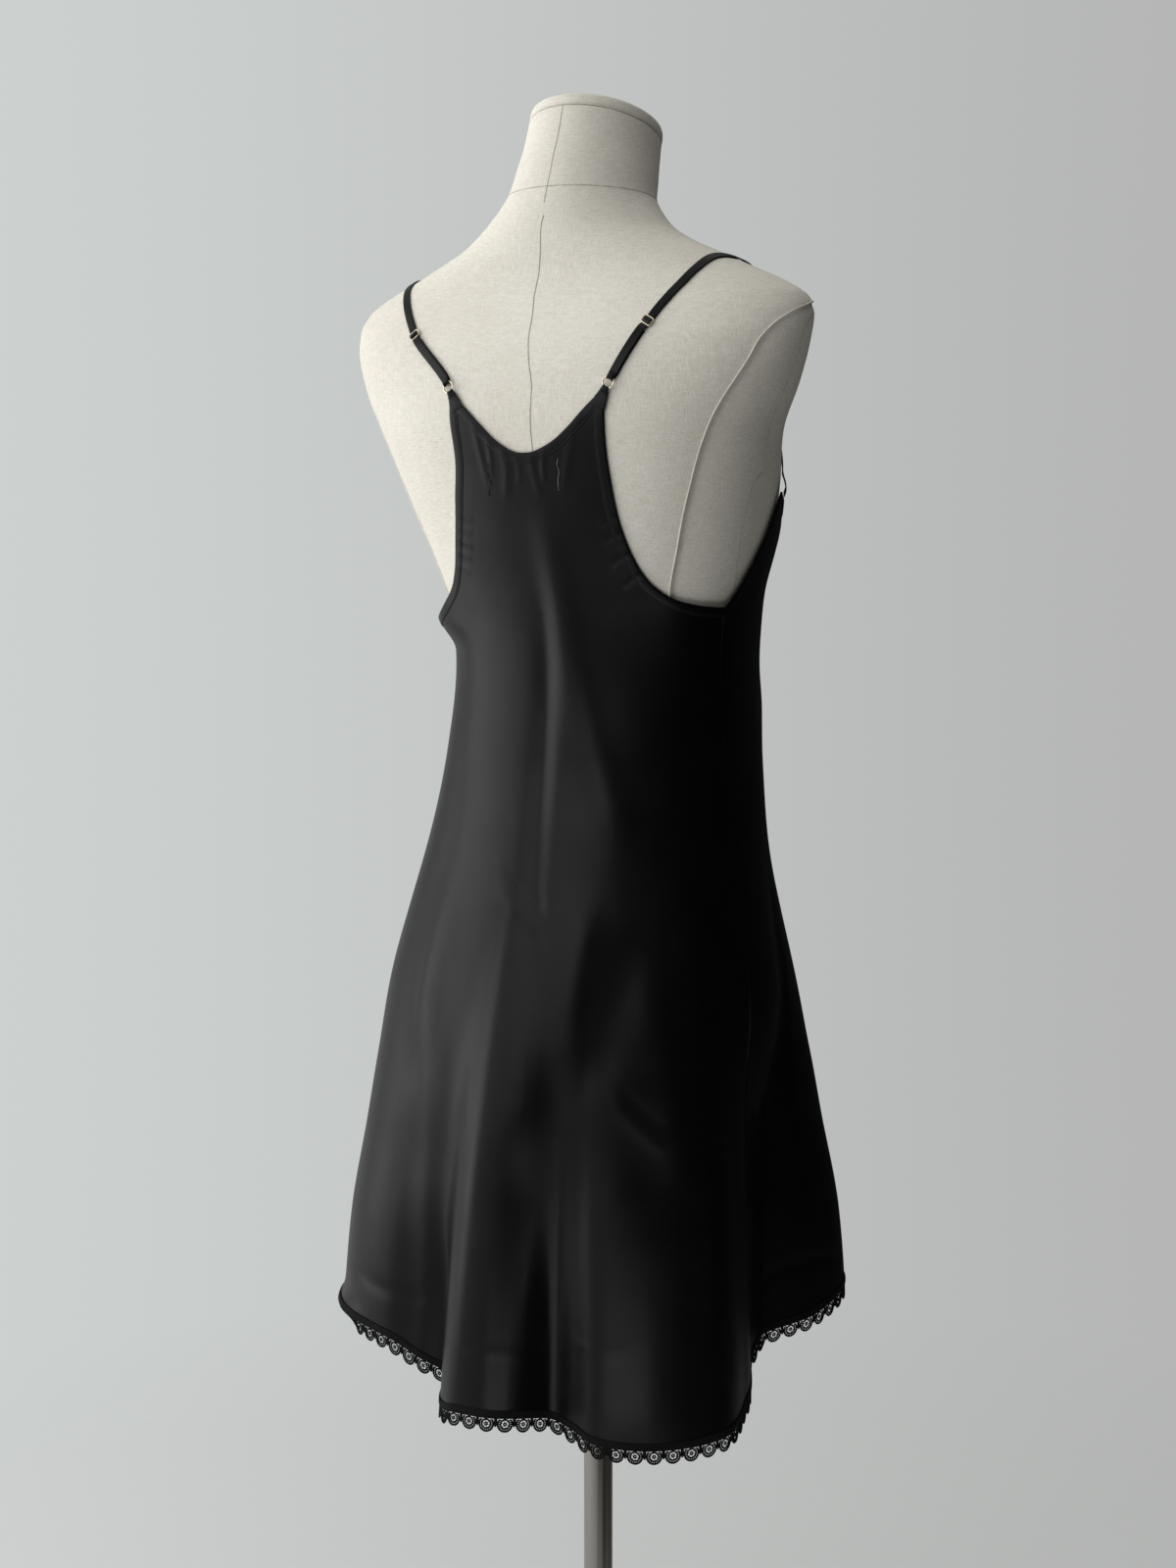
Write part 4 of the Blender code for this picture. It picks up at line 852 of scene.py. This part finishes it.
def add_form():
    """The torso with its neck, the cap on the neck, the corded seams, and the thin seams, whose
    darker colour is partly stitching and partly painted shade of their grooves.
    """
    shoulder, collar = 1.290, FORM.places[-1]
    heights = np.concatenate([np.linspace(FORM_BOTTOM + 0.006, shoulder, 120),
                              np.linspace(shoulder, collar, 66)[1:]])
    rise, share = np.transpose(BOTTOM_EDGE)
    bottom = form_rings(FORM_BOTTOM + rise)
    middle = middle_at(FORM_BOTTOM)[:2]
    bottom[..., :2] = middle + (bottom[..., :2] - middle) * share[:, None, None]
    neck_top = float(NECK.places[-1])
    neck = np.stack([neck_ring(height) for height in np.linspace(collar + 0.0015, neck_top, 40)])
    torso = np.concatenate([bottom, form_rings(heights), neck])
    add_loft("linen_torso", torso, LINEN_FINISH, "form_torso")
    cap = np.stack([neck_ring(neck_top, *row) for row in CAP_SECTION])
    add_loft("linen_neck_cap", cap, LINEN_FINISH, "form_neck_cap")

    cords, seams = Strands(), Strands()
    heights = np.linspace(PLATE.places[0], PLATE.places[-1], 90)
    for side in (1, -1):
        for away in (plate_start(side, heights), PLATE.at("front_seam", heights)):
            place = form_place(side * away, heights, 0.0002)
            cords.add(place, unit(place - middle_at(heights)), CORD_RADIUS, sides=8)
    # The thin seams get the darker finish: partly stitching, partly painted shade of their grooves.
    for path in (CENTRE_SEAM, CENTRE_SEAM * (0, 1) + (180, 0), PLATE_SEAM, PLATE_SEAM * (-1, 1)):
        angle, height, _ = smooth_path(path, 12)
        place = form_place(angle, height, 0.0001 - plate_inset(angle, height))
        seams.add(place, unit(place - middle_at(height)), SEAM_RADIUS, 0.6)
    seams.add(neck[:, FORM_SIDES // 4], (0.0, 1.0, 0.0), SEAM_RADIUS, 0.6)
    for height, shrink, width in ((NECK_SEAM, 1.0, 0.0004), (neck_top - 0.0002, 0.997, 0.0005)):
        ring = neck_ring(height, 0.0, shrink)
        seams.add(ring, unit(ring - ring.mean(0)), width, 0.6, closed=True)
    cords.make("form_cords", CORD_FINISH)
    seams.make("form_seams_painted_shade", SEAM_PAINTED_SHADE_FINISH)


# ---- panels
def add_panel(name, panel, node):
    across = np.linspace(-1.0, 1.0, PANEL_COLUMNS + 1)
    seam = Panel.SEAM_PART
    up = np.concatenate([np.linspace(0.0, seam, SKIRT_ROWS + 1),
                         np.linspace(seam, 1.0, ARMHOLE_ROWS + 1)[1:]])
    angle, height = panel.place(across[None, :], up[:, None])
    angle = np.broadcast_to(angle, height.shape)
    inner = cloth_place(angle, height)
    inner[:, [0, -1]] -= SEAM_TUCK * unit(inner - middle_at(height))[:, [0, -1]]
    outer = inner + SATIN * unit(np.cross(np.gradient(inner, axis=1), np.gradient(inner, axis=0)))
    return add_shell(name, inner, outer, SATIN_FINISH, node)


# ---- bands
# Section of a folded band, from its edge on the face, round the cloth's edge, to its edge behind,
# in millimetres: distance in from the cloth's edge and lift from the cloth's inner face, of the
# band's outer side and of its inner side.
BAND_SECTION = np.array((
    (8, 0.9, 7.9, 0.74), (7.8, 1.08, 7.7, 0.74), (7.2, 1.12, 7.2, 0.74), (6.8, 0.94, 6.8, 0.73),
    (6.4, 1.12, 6.4, 0.74), (5.4, 1.2, 5.4, 0.76), (3.4, 1.24, 3.4, 0.78), (1.4, 1.22, 1.4, 0.78),
    (0.4, 1.12, 0.5, 0.76), (-0.3, 0.82, 0, 0.66), (-0.5, 0.35, -0.1, 0.35),
    (-0.3, -0.12, 0, 0.04), (0.4, -0.34, 0.5, -0.08), (3, -0.4, 3, -0.12), (7.6, -0.38, 7.6, -0.1)
)) / 1000
STITCH_DISTANCE, STITCH_LIFT = 0.0067, 0.00106
BAND_SPAN = 0.93         # share of the neckline's half width that its band covers
LEAST_WIDTH = 0.12       # share of its width that an armhole band keeps at its ends


class Band:
    """A folded band along stations (angle, height) of an edge."""

    def __init__(self, angle, height, inward):
        self.angle, self.height = np.broadcast_arrays(angle, height)
        self.edge = cloth_place(self.angle, self.height)
        forward = unit(np.gradient(self.edge, axis=0))
        self.aside = unit(np.cross(forward, cloth_normal(self.angle, self.height))) * inward
        self.widths = np.ones(len(self.angle))

    def spot(self, distance):
        return onto_cloth(self.edge + self.aside * distance[:, None], self.angle)

    def place(self, distance, lift):
        """Points at one distance in from the edge."""
        return cloth_point(*self.spot(distance * self.widths), np.full(len(self.angle), lift))

    def add(self, name, node):
        outside, inside = (np.stack([self.place(*row) for row in side], 1)
                           for side in (BAND_SECTION[:, :2], BAND_SECTION[:, 2:]))
        stitches = Strands()
        for path, normals in self.stitches():
            stitches.add(path, normals, STITCH_RADIUS, sides=5)
        band = add_shell(name, inside, outside, SATIN_FINISH, node)
        stitches.make(name + "_stitches", THREAD_FINISH)
        return band

    def stitches(self):
        """Short stitches along the band, as paths with their normals."""
        line = self.place(STITCH_DISTANCE, STITCH_LIFT)
        lengths = line_lengths(line)
        normals = cloth_normal(*self.spot(STITCH_DISTANCE * self.widths))
        for start in np.arange(STITCH_STEP, lengths[-1] - STITCH_STEP, STITCH_STEP):
            at = start + STITCH_LENGTH * np.array([0.0, 0.5, 1.0])
            normal = read_line(at, lengths, normals)
            arc = np.array([-0.0001, 0.0001, -0.0001])[:, None]
            yield read_line(at, lengths, line) + normal * arc, normal


def armhole_band(back_edge, front_edge, inward):
    """A band from the back strap point under the arm to the front one; at its ends it narrows,
    so that it doesn't pass the neckline."""
    front = np.linspace(0.0, 1.0, 111)
    back = front[::-1]
    angle, height = (np.concatenate([back_edge.at(name, back), front_edge.at(name, front[1:])])
                     for name in ("angle", "height"))
    panels = [BACK] * len(back) + [FRONT] * len(front[1:])
    band = Band(angle, height, inward)
    widths = band.widths
    for share in np.arange(1.0, 0.10, -0.05):
        spot_angle, spot_height = band.spot(np.full(len(angle), BAND_WIDTH * share))
        limit = np.array([panel.neckline_height(at) for panel, at in zip(panels, spot_angle)])
        past = (spot_height > limit - 0.0002) & (widths >= share - 1e-9)
        widths = np.where(past, share - 0.05, widths)
    band.widths = np.maximum(widths, LEAST_WIDTH)
    return band


def add_bands():
    across = np.linspace(-BAND_SPAN, BAND_SPAN, 121)
    return [band.add(name, node) for name, node, band in (
        ("armhole_band_left", "binding_armhole_left",
         armhole_band(BACK_LEFT_EDGE, FRONT_LEFT_EDGE, -1)),
        ("armhole_band_right", "binding_armhole_right",
         armhole_band(BACK_RIGHT_EDGE, FRONT_RIGHT_EDGE, 1)),
        ("neck_band_back", "binding_neck_back", Band(*BACK.row(across, 1.0), 1)),
        ("neck_band_front", "binding_neck_front", Band(*FRONT.row(across, 1.0), 1)))]


# What is left of a label that was sewn in under the neckline: snipped stitches on the left, and
# loose thread on the right, as angles and heights.
SNIPPED_STITCHES = (
    (-18.6, 1.2015, -19.4, 1.199, -18.4, 1.1975),
    (-18.8, 1.195, -20, 1.1935, -19, 1.1915),
    (-19.2, 1.1885, -18.6, 1.1862, -19.8, 1.185),
    (-19.6, 1.1815, -21, 1.179, -20.2, 1.1765),
)
LOOSE_THREAD = (19.2, 1.2045, 18.6, 1.2, 18.9, 1.195, 18.2, 1.189, 17.7, 1.1835, 17.9, 1.18)


def add_thread_ends(name, paths, finish, radius, lift):
    """Loose ends of thread that stand off the satin; lift is read against the share of a path."""
    strands = Strands()
    for path in paths:
        angle, height, share = smooth_path(path)
        place = cloth_point(angle, height, SATIN + lift(share))
        strands.add(place, cloth_normal(angle, height), radius, 0.9)
    strands.make(name, finish)


def add_side_seams():
    """The allowances of the two side seams, which lie flat inside the dress."""
    across = np.linspace(-1.0, 1.0, 5)[None, :]
    for name, angle, edge in (("side_seam_left", LEFT_SEAM, BACK_LEFT_EDGE),
                              ("side_seam_right", RIGHT_SEAM, BACK_RIGHT_EDGE)):
        foot, head = hem_height(angle) + 0.002, edge.at("height", 0.0) - 0.004
        up = np.linspace(foot, head, 260)[:, None]
        outer, inner = (cloth_point(angle + SEAM_ALLOWANCE * across, up, -depth)
                        for depth in (0.0001, 0.0005))
        add_shell(name, inner, outer, SATIN_FINISH)


# ---- lace
class HemLine:
    """The satin's lower edge between two angles, read by distance along it."""

    def __init__(self, first, last):
        self.angles = np.linspace(first, last, 1441)
        self.lengths = line_lengths(cloth_place(self.angles, hem_height(self.angles)))
        self.length = float(self.lengths[-1])

    def hang(self, distance, drop, lift):
        angle = np.interp(distance, self.lengths, self.angles)
        here = whole_turn(angle)
        curl = np.radians(CURL_TURN) * smooth_step((here - CURL_FIRST) / CURL_FADE)
        curl = curl * smooth_step((CURL_LAST - here) / CURL_FADE)
        below = np.maximum(drop - HEADER_BOTTOM, 0.0)
        height = hem_height(angle) - drop + below * (1 - np.cos(curl))
        normal = cloth_normal(angle, height)
        lift = np.asarray(lift) - below * np.sin(curl)
        return cloth_place(angle, height) + normal * lift[..., None], normal


def add_lace(name, first, last, node):
    """A header sewn over the satin's edge, with wheels, eyelets and scalloped rims below it."""
    hem = HemLine(first, last)
    count = round(hem.length / SCALLOP_PITCH)
    pitch = hem.length / count
    strands, drawn = Strands(), []

    def put(x, drop, *style):
        drawn.append((x, drop, style))

    # the threads of a wheel: angles round it, distances from its centre, and their radius,
    # flatness, sides and whether they are closed
    circle = math.pi / 2 - 2 * math.pi * np.arange(20) / 20
    rim = np.radians(np.linspace(-128.0, 128.0, 27))
    bridges = np.radians(np.arange(-130.0, 131.0, 20.0))
    spokes = np.radians(np.arange(0.0, 360.0, 60.0) + 15.0)
    wheel = [(circle, WHEEL_RING, (THREAD, THREAD_FLAT, 6, True)),
             (circle[::2], HUB_RING, (BRIDGE_THREAD, THREAD_FLAT, 5, True)),
             (rim, RIM_RING, (THREAD + 0.00012 * (np.arange(27) % 2), THREAD_FLAT, 6))]
    wheel += [(turn, np.array([WHEEL_RING, RIM_RING]), (BRIDGE_THREAD, THREAD_FLAT, 4))
              for turn in bridges]
    wheel += [(turn, np.array([0.0003, WHEEL_RING]), (FINE_THREAD, THREAD_FLAT, 4))
              for turn in spokes]
    post = np.linspace(POST_START, NOTCH_DROP + POST_START, 7)
    post_width = np.array([1.1, 1.15, 1.1, 1.0, 1.0, 0.9, 0.4]) * POST
    for i in range(count):
        for turn, reach, style in wheel:
            put((i + 0.5) * pitch + reach * np.sin(turn), WHEEL_DROP + reach * np.cos(turn),
                *style)
        put(np.full(7, i * pitch), post, post_width, POST_FLAT, 6)
    post = np.linspace(POST_START, NOTCH_DROP, 7)
    put(np.full(7, hem.length), post, LAST_POST, POST_FLAT, 6)

    x, drop = (np.concatenate([thread[i] for thread in drawn]) for i in range(2))
    places, normals = hem.hang(x, drop, LACE_LIFT)
    start = 0
    for thread in drawn:
        end = start + len(thread[0])
        strands.add(places[start:end], normals[start:end], *thread[2])
        start = end

    x = np.linspace(0.0, hem.length, count * 12 + 1)[None, :]
    wave = np.cos(2 * math.pi * x / (pitch / HEADER_TEETH))
    rows = np.linspace(-1.0, 1.0, 9)[:, None]
    top = -HEADER_TOP + TOOTH_RISE * (0.5 + 0.5 * wave)
    drop = top + (HEADER_BOTTOM - top) * (rows + 1) / 2
    x = np.broadcast_to(x, drop.shape)
    swell = 0.00012 * wave * np.cos(math.pi * rows * 2)
    over = SATIN * smooth_step((0.0012 - drop) / 0.0012)
    inner, normals = hem.hang(x, drop, 0.00012 + over)
    outer = inner + normals * (HEADER_RISE + swell - 0.0003 * rows ** 6)[..., None]
    strands.add_wall(inner[::-1], outer[::-1])
    return strands.make(name, LACE_FINISH, node)


# ---- straps and fittings
def form_depth(place):
    """How far points are outside the form, sideways."""
    angle, height = onto_cloth(place, 0.0)
    aside = np.linalg.norm(place - middle_at(height), axis=-1)
    return aside - section_radius(FORM, angle, height)


class Route:
    """A strap's way over the form, read by its length from the front point."""

    def __init__(self, table, side):
        turns = np.linspace(ROUTE_START, ROUTE_END, 321)
        offset = side * table.at("offset", turns)
        hub = xyz(offset, 0.0, STRAP_HUB)
        angle = np.radians(turns)
        ray = xyz(0.0, -np.cos(angle), np.sin(angle))
        near, far = np.zeros(len(turns)), np.full(len(turns), 0.30)
        for _ in range(40):
            middle = (near + far) / 2
            inside = form_depth(hub + ray * middle[:, None]) < 0
            near, far = np.where(inside, middle, near), np.where(inside, far, middle)
        self.places = hub + ray * near[:, None]
        self.normals = unit(np.stack([form_depth(self.places + step)
                                      - form_depth(self.places - step)
                                      for step in 0.0005 * np.eye(3)], -1))
        self.lengths = line_lengths(self.places)
        self.slider = float(np.interp(SLIDER_TURN, turns, self.lengths))
        self.ring = float(np.interp(RING_TURN, turns, self.lengths))
        self.start = float(np.interp(STRAP_START, self.places[:80, 2], self.lengths[:80]))

    def frame(self, length):
        """Points on the form, the route's direction there, its side and the form's normals."""
        reach = 0.003
        before, place, after = (read_line(length + ahead, self.lengths, self.places)
                                for ahead in (-reach, 0.0, reach))
        normal = unit(read_line(length, self.lengths, self.normals))
        forward = after - before
        forward = unit(forward - normal * np.sum(forward * normal, -1, keepdims=True))
        return place, forward, np.cross(forward, normal), normal


# Section of a strap or tab: place across from -1 to 1, and share of its thickness.
STRAP_SECTION = ((-1.0, 0.50), (-0.96, 0.85), (-0.86, 1.00), (-0.50, 1.03), (0.0, 1.05),
                 (0.50, 1.03), (0.86, 1.00), (0.96, 0.85), (1.0, 0.50), (0.96, 0.15),
                 (0.80, 0.0), (0.0, 0.0), (-0.80, 0.0), (-0.96, 0.15))


def refine(profile, step=0.0006):
    """More stations between a profile's own, no further apart than a step."""
    profile = np.array(profile, dtype=float)
    fine = [profile[0]]
    for before, after in zip(profile, profile[1:]):
        count = max(1, math.ceil(math.hypot(*(after[:2] - before[:2])) / step))
        fine += [before + (after - before) * i / count for i in range(1, count + 1)]
    return np.array(fine)


def add_ribbon(name, route, profile, node):
    """A strip whose inner face follows (length, lift, turns, width) stations above the route.

    Where `turns` is 1 or -1 the strip goes round its ring: it gathers, and it bends to follow the
    wire below or above it."""
    length, lift, turns, width = refine(profile).T
    centre, ring_forward, _, ring_normal = route.frame(route.ring)
    half = width / 2
    inner = np.minimum(half, LOOP_WIDTH / 2)
    bend = RING_RADIUS - np.sqrt(RING_RADIUS ** 2 - inner ** 2)
    share_of_flat = np.abs(turns)[:, None]
    line = []
    for share in (-1.0, -0.5, 0.0, 0.5, 1.0):
        at = length + turns * bend * share * share
        place, forward, _, normal = route.frame(at)
        flat = centre + ring_forward * (at - route.ring)[:, None]
        place = place + (flat - place) * share_of_flat
        normal = unit(normal + (ring_normal - normal) * share_of_flat)
        forward = unit(forward + (ring_forward - forward) * share_of_flat)
        side = np.cross(forward, normal)
        line.append(place + normal * lift[:, None] + side * (half * share)[:, None])
    line = np.stack(line, 1)
    along = unit(np.gradient(line[:, 2], axis=0))
    rise = unit(np.cross(unit(line[:, 4] - line[:, 0]), along))
    points = []
    for share, thickness in STRAP_SECTION:
        low = min(int((share + 1) * 2), 3)
        part = (share + 1) * 2 - low
        base = line[:, low] * (1 - part) + line[:, low + 1] * part
        points.append(base + rise * STRAP * thickness)
    return add_loft(name, np.stack(points, 1), SATIN_FINISH, node)


def loop_round(wire_at, side):
    """Half a circle of stations round a wire, from its outer side to its inner side."""
    return [(wire_at + side * LOOP_RADIUS * math.sin(turn),
             RING_LIFT + LOOP_RADIUS * math.cos(turn), side)
            for turn in (math.pi * i / 14 for i in range(15))]


def add_strap(name, route, node):
    """Front point, over the shoulder, through the slider, round the ring and back to the slider."""
    middle, half = route.slider, SLIDER_LENGTH / 2
    over = SLIDER_LIFT + SLIDER_WIRE + 0.0001
    wire_at = route.ring - RING_RADIUS - LOOP_PLAY
    loop = loop_round(wire_at, 1)
    low, high = middle + half + 0.003, wire_at - 0.004
    settle = np.concatenate([np.linspace(-STRAP_LAP, 0.016, 16) + route.start,
                             np.linspace(route.start + 0.020, middle - half - 0.002, 22)])
    away = settle - route.start
    stand = STRAP_STAND * (1 - smooth_step(away / STRAP_BRIDGE))
    stand = stand + STRAP_LAP_RISE * (1 - smooth_step((away - 0.001) / STRAP_LAP_FALL))
    sink = smooth_step(away / SINK_FADE_IN) * smooth_step((SINK_END - away) / SINK_FADE_OUT)
    stand = stand - STRAP_SINK * sink
    profile = [(at, STRAP_REST + lift, 0) for at, lift in zip(settle, stand)]
    profile += [(middle + at, lift, 0) for at, lift in (
        (-0.0024, STRAP_REST), (-0.0010, over * 0.8), (-0.0004, over), (0.0004, over),
        (0.0010, over * 0.8), (0.0024, STRAP_REST + 0.0002), (half + 0.0010, STRAP_REST + 0.0004))]
    profile += [(low, DOUBLED_LIFT, 0), (high, DOUBLED_LIFT, 0),
                (wire_at - 0.0018, (DOUBLED_LIFT + loop[0][1]) / 2, 0.5), *loop,
                (wire_at - 0.0018, (STRAP_REST + loop[-1][1]) / 2, 0.5),
                (high, STRAP_REST, 0), (low + 0.0015, STRAP_REST, 0)]
    profile = [(*spot, STRAP_WIDTH + (LOOP_WIDTH - STRAP_WIDTH) * abs(spot[2]))
               for spot in profile]
    return add_ribbon(name, route, profile, node)


def add_tab(name, route, node):
    """The end of the armhole binding, folded over the ring's lower wire."""
    wire_at = route.ring + RING_RADIUS + LOOP_PLAY
    loop = loop_round(wire_at, -1)
    profile = [(wire_at + TAB_LENGTH, TAB_LIFT - 0.0001, 0, TAB_FOOT_WIDTH),
               (wire_at + 0.009, TAB_LIFT, 0, (TAB_WIDTH + TAB_FOOT_WIDTH) / 2),
               (wire_at + 0.004, TAB_LIFT, 0, TAB_WIDTH),
               (wire_at + 0.0018, (TAB_LIFT + loop[0][1]) / 2, -0.5, (TAB_WIDTH + LOOP_WIDTH) / 2)]
    profile += [(*spot, LOOP_WIDTH) for spot in loop]
    profile += [(wire_at + 0.0020, loop[-1][1], -0.5, LOOP_WIDTH),
                (wire_at + 0.0034, loop[-1][1] + 0.0001, 0, LOOP_WIDTH)]
    return add_ribbon(name, route, profile, node)


def add_tab_stitches(name, route):
    """Rows of stitches across the tab."""
    strands = Strands()
    lift = TAB_LIFT + STRAP + 0.0001
    for along in (0.0040, 0.0052, TAB_LENGTH - 0.0016):
        place, _, side, normal = route.frame(route.ring + RING_RADIUS + along)
        for across in np.arange(-0.0030, 0.0031, 0.0015):
            path = [place + normal * (lift + rise) + side * (across + shift)
                    for shift, rise in ((-0.0005, -0.0001), (0.0, 0.0001), (0.0005, -0.0001))]
            strands.add(path, normal, STITCH_RADIUS, sides=5)
    strands.make(name, THREAD_FINISH)


def add_ring(name, route, node):
    place, forward, side, normal = route.frame(route.ring)
    turns = 2 * math.pi * np.arange(48)[:, None] / 48
    circle = forward * np.cos(turns) + side * np.sin(turns)
    wire = Strands()
    wire.add(place + normal * RING_LIFT + RING_RADIUS * circle, normal, RING_WIRE, 1.0, 14, True)
    wire.make(name, GILT_FINISH, node)


def add_slider(name, route, node):
    """A round-wire frame with a bar across its middle."""
    place, forward, side, normal = route.frame(route.slider)
    centre = place + normal * SLIDER_LIFT
    length = SLIDER_LENGTH / 2 - SLIDER_WIRE - SLIDER_CORNER
    width = SLIDER_WIDTH / 2 - SLIDER_WIRE - SLIDER_CORNER
    path = []
    for length_sign, width_sign, start in ((1, 1, 0), (-1, 1, 90), (-1, -1, 180), (1, -1, 270)):
        for turn in np.radians(np.arange(start, start + 91, 15)):
            path.append(centre + forward * (length_sign * length + SLIDER_CORNER * math.cos(turn))
                        + side * (width_sign * width + SLIDER_CORNER * math.sin(turn)))
    wire = Strands()
    wire.add(path, normal, SLIDER_WIRE, 1.0, 12, True)
    bar = [centre + side * (width + SLIDER_CORNER) * share for share in np.linspace(-1, 1, 5)]
    wire.add(bar, normal, SLIDER_WIRE * 0.95, 1.0, 12)
    wire.make(name, GILT_FINISH, node)


# ---- stage
FLOOR_RADIUS, FLOOR_HEIGHT = 3.4, -0.0005
FLOOR_FADE_START, FLOOR_FADE_END = 0.3, 1.5
FLOOR_TONE = (0.78, 0.80, 0.80)
# Backdrop colours: lighter on the left as painted light, darker on the right as painted shade of
# the wall.
WALL_PAINTED_LIGHT, WALL_PAINTED_SHADE = (0.62, 0.65, 0.64), (0.45, 0.455, 0.45)
ROOM_DARK, ROOM_WINDOW, ROOM_CEILING = (0.02, 0.02, 0.02), (0.80, 0.805, 0.81), (0.50, 0.495, 0.48)
WINDOW_SIDE = (0.94, 0.34, 0.0)
LIGHT_AIM = 0.95         # height that the lights are turned to

# Area lights: direction from the middle, distance, height, size, power and colour.
LIGHTS = {
    "window_light": ((0.88, 0.475, 0.0), 2.3, 1.30, (1.7, 2.2), 28.5, (1.0, 0.99, 0.97)),
    "high_light": ((0.20, 0.98, 0.0), 2.3, 1.80, (1.2, 1.2), 9.0),
    "low_light": ((-0.34, 0.94, 0.0), 1.2, 0.30, (1.10, 0.28), 3.0),
    "ceiling_light": ((0.1, 0.1, 0.0), 0.4, 3.2, (2.4, 2.4), 12.0),
}
UP = Vector((0.0, 0.0, 1.0))
VIEW_BACK = Vector((-math.sin(VIEW_TURN), math.cos(VIEW_TURN), 0.0))
VIEW_RIGHT = Vector((-math.cos(VIEW_TURN), -math.sin(VIEW_TURN), 0.0))


def add_camera():
    data = bpy.data.cameras.new("camera")
    data.sensor_fit = "VERTICAL"
    data.sensor_height = SENSOR_MM
    data.lens = LENS_MM
    made = bpy.data.objects.new("camera", data)
    place = VIEW_BACK * VIEW_DISTANCE - VIEW_RIGHT * VIEW_ASIDE + UP * VIEW_HEIGHT
    behind = VIEW_BACK * math.cos(VIEW_PITCH) + UP * math.sin(VIEW_PITCH)
    turned = Matrix((VIEW_RIGHT, behind.cross(VIEW_RIGHT), behind)).transposed().to_4x4()
    made.matrix_world = Matrix.Translation(place) @ turned
    bpy.context.scene.collection.objects.link(made)
    bpy.context.scene.camera = made


def add_area_light(name, direction, distance, height, size, power, colour=(1.0, 1.0, 1.0)):
    data = bpy.data.lights.new(name, "AREA")
    data.shape = "RECTANGLE"
    data.size, data.size_y = size
    data.energy = power
    data.color = colour
    made = bpy.data.objects.new(name, data)
    made.location = Vector(direction).normalized() * distance + UP * height
    aim = UP * LIGHT_AIM - made.location
    made.rotation_euler = aim.to_track_quat("-Z", "Y").to_euler()
    made.visible_camera = False
    bpy.context.scene.collection.objects.link(made)


def add_world():
    """A pale backdrop to the eye, with painted light on its left and painted shade on its right;
    the room lights the object from the left and above.
    """
    world = bpy.data.worlds.new("studio")
    bpy.context.scene.world = world
    world.use_nodes = True
    world.node_tree.nodes.clear()
    made = Nodes(world.node_tree)
    place = made.add("TexCoord", {}, "Generated")

    def toward(direction, low, high):
        dot = made.add("VectorMath", {0: place, 1: direction}, "Value", operation="DOT_PRODUCT")
        return made.spread(dot, 0.0, 1.0, low, high, interpolation_type="SMOOTHSTEP")

    # The backdrop fades from painted light on the left to painted shade on the right.
    wall = made.mixed(toward(VIEW_RIGHT, -0.35, 0.35), WALL_PAINTED_LIGHT, WALL_PAINTED_SHADE)
    room = made.mixed(toward(WINDOW_SIDE, 0.0, 1.0), ROOM_DARK, ROOM_WINDOW)
    room = made.mixed(toward(UP, 0.36, 0.85), room, ROOM_CEILING)
    shown, lighting = (made.add("Background", {"Color": colour}) for colour in (wall, room))
    to_eye = made.add("LightPath", {}, "Is Camera Ray")
    made.add("OutputWorld", {"Surface": made.add("MixShader", {"Fac": to_eye, 1: lighting,
                                                               2: shown})})


def add_floor():
    """A pale floor that fades out into the backdrop."""
    made = make_finish("pale_floor", None, FLOOR_TONE, 0.85, bumps=(((40, 3), 0.0004),))
    away = made.add("VectorMath", {0: made.place}, "Value", operation="LENGTH")
    fade = made.spread(away, 0.0, 1.0, FLOOR_FADE_START, FLOOR_FADE_END)
    shader = made.nodes["Principled BSDF"].outputs["BSDF"]
    mix = made.add("MixShader", {"Fac": fade, 1: shader, 2: made.add("BsdfTransparent", {})})
    made.feed(made.nodes["Material Output"].inputs["Surface"], mix)
    turns = 2 * math.pi * np.arange(96) / 96
    points = xyz(FLOOR_RADIUS * np.cos(turns), FLOOR_RADIUS * np.sin(turns), FLOOR_HEIGHT)
    add_piece("floor", points, [list(range(96))], made)


# ---- the object
def build():
    add_form()
    for node, finish in (("form_socket", WOOD_FINISH), ("form_pole", STEEL_PAINTED_REFLECTION_FINISH),
                         ("form_boss", STEEL_PAINTED_REFLECTION_FINISH), ("form_base", BASE_FINISH)):
        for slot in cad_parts[node].material_slots:
            slot.material = finish.material

    back = add_panel("satin_back", BACK, "dress_back")
    front = add_panel("satin_front", FRONT, "dress_front")
    *on_back, on_front = add_bands()
    add_thread_ends("snipped_stitches", SNIPPED_STITCHES, THREAD_FINISH, 0.00030,
                    lambda share: 0.0003 + 0.0009 * np.sin(math.pi * share))
    add_thread_ends("loose_thread", [LOOSE_THREAD], LOOSE_THREAD_FINISH, 0.00022,
                    lambda share: 0.0002 + 0.0007 * np.sin(2.5 * math.pi * share) ** 2)
    add_side_seams()
    on_back.append(add_lace("hem_lace_back", LEFT_SEAM, RIGHT_SEAM, "lace_back"))
    on_front = [on_front, add_lace("hem_lace_front", RIGHT_SEAM, LEFT_SEAM + 360, "lace_front")]
    for word, table, side in (("left", LEFT_ROUTE, 1), ("right", RIGHT_ROUTE, -1)):
        route = Route(table, side)
        on_front.append(add_strap("shoulder_strap_" + word, route, "strap_" + word))
        on_back.append(add_tab("tab_loop_" + word, route, "tab_" + word))
        add_tab_stitches("tab_stitches_" + word, route)
        add_ring("gilt_ring_" + word, route, "ring_" + word)
        add_slider("gilt_slider_" + word, route, "slider_" + word)
    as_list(on_back)
    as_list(on_front)


build()
add_floor()
add_world()
add_camera()
for light_name, row in LIGHTS.items():
    add_area_light(light_name, *row)
bpy.context.scene.view_settings.view_transform = "Standard"
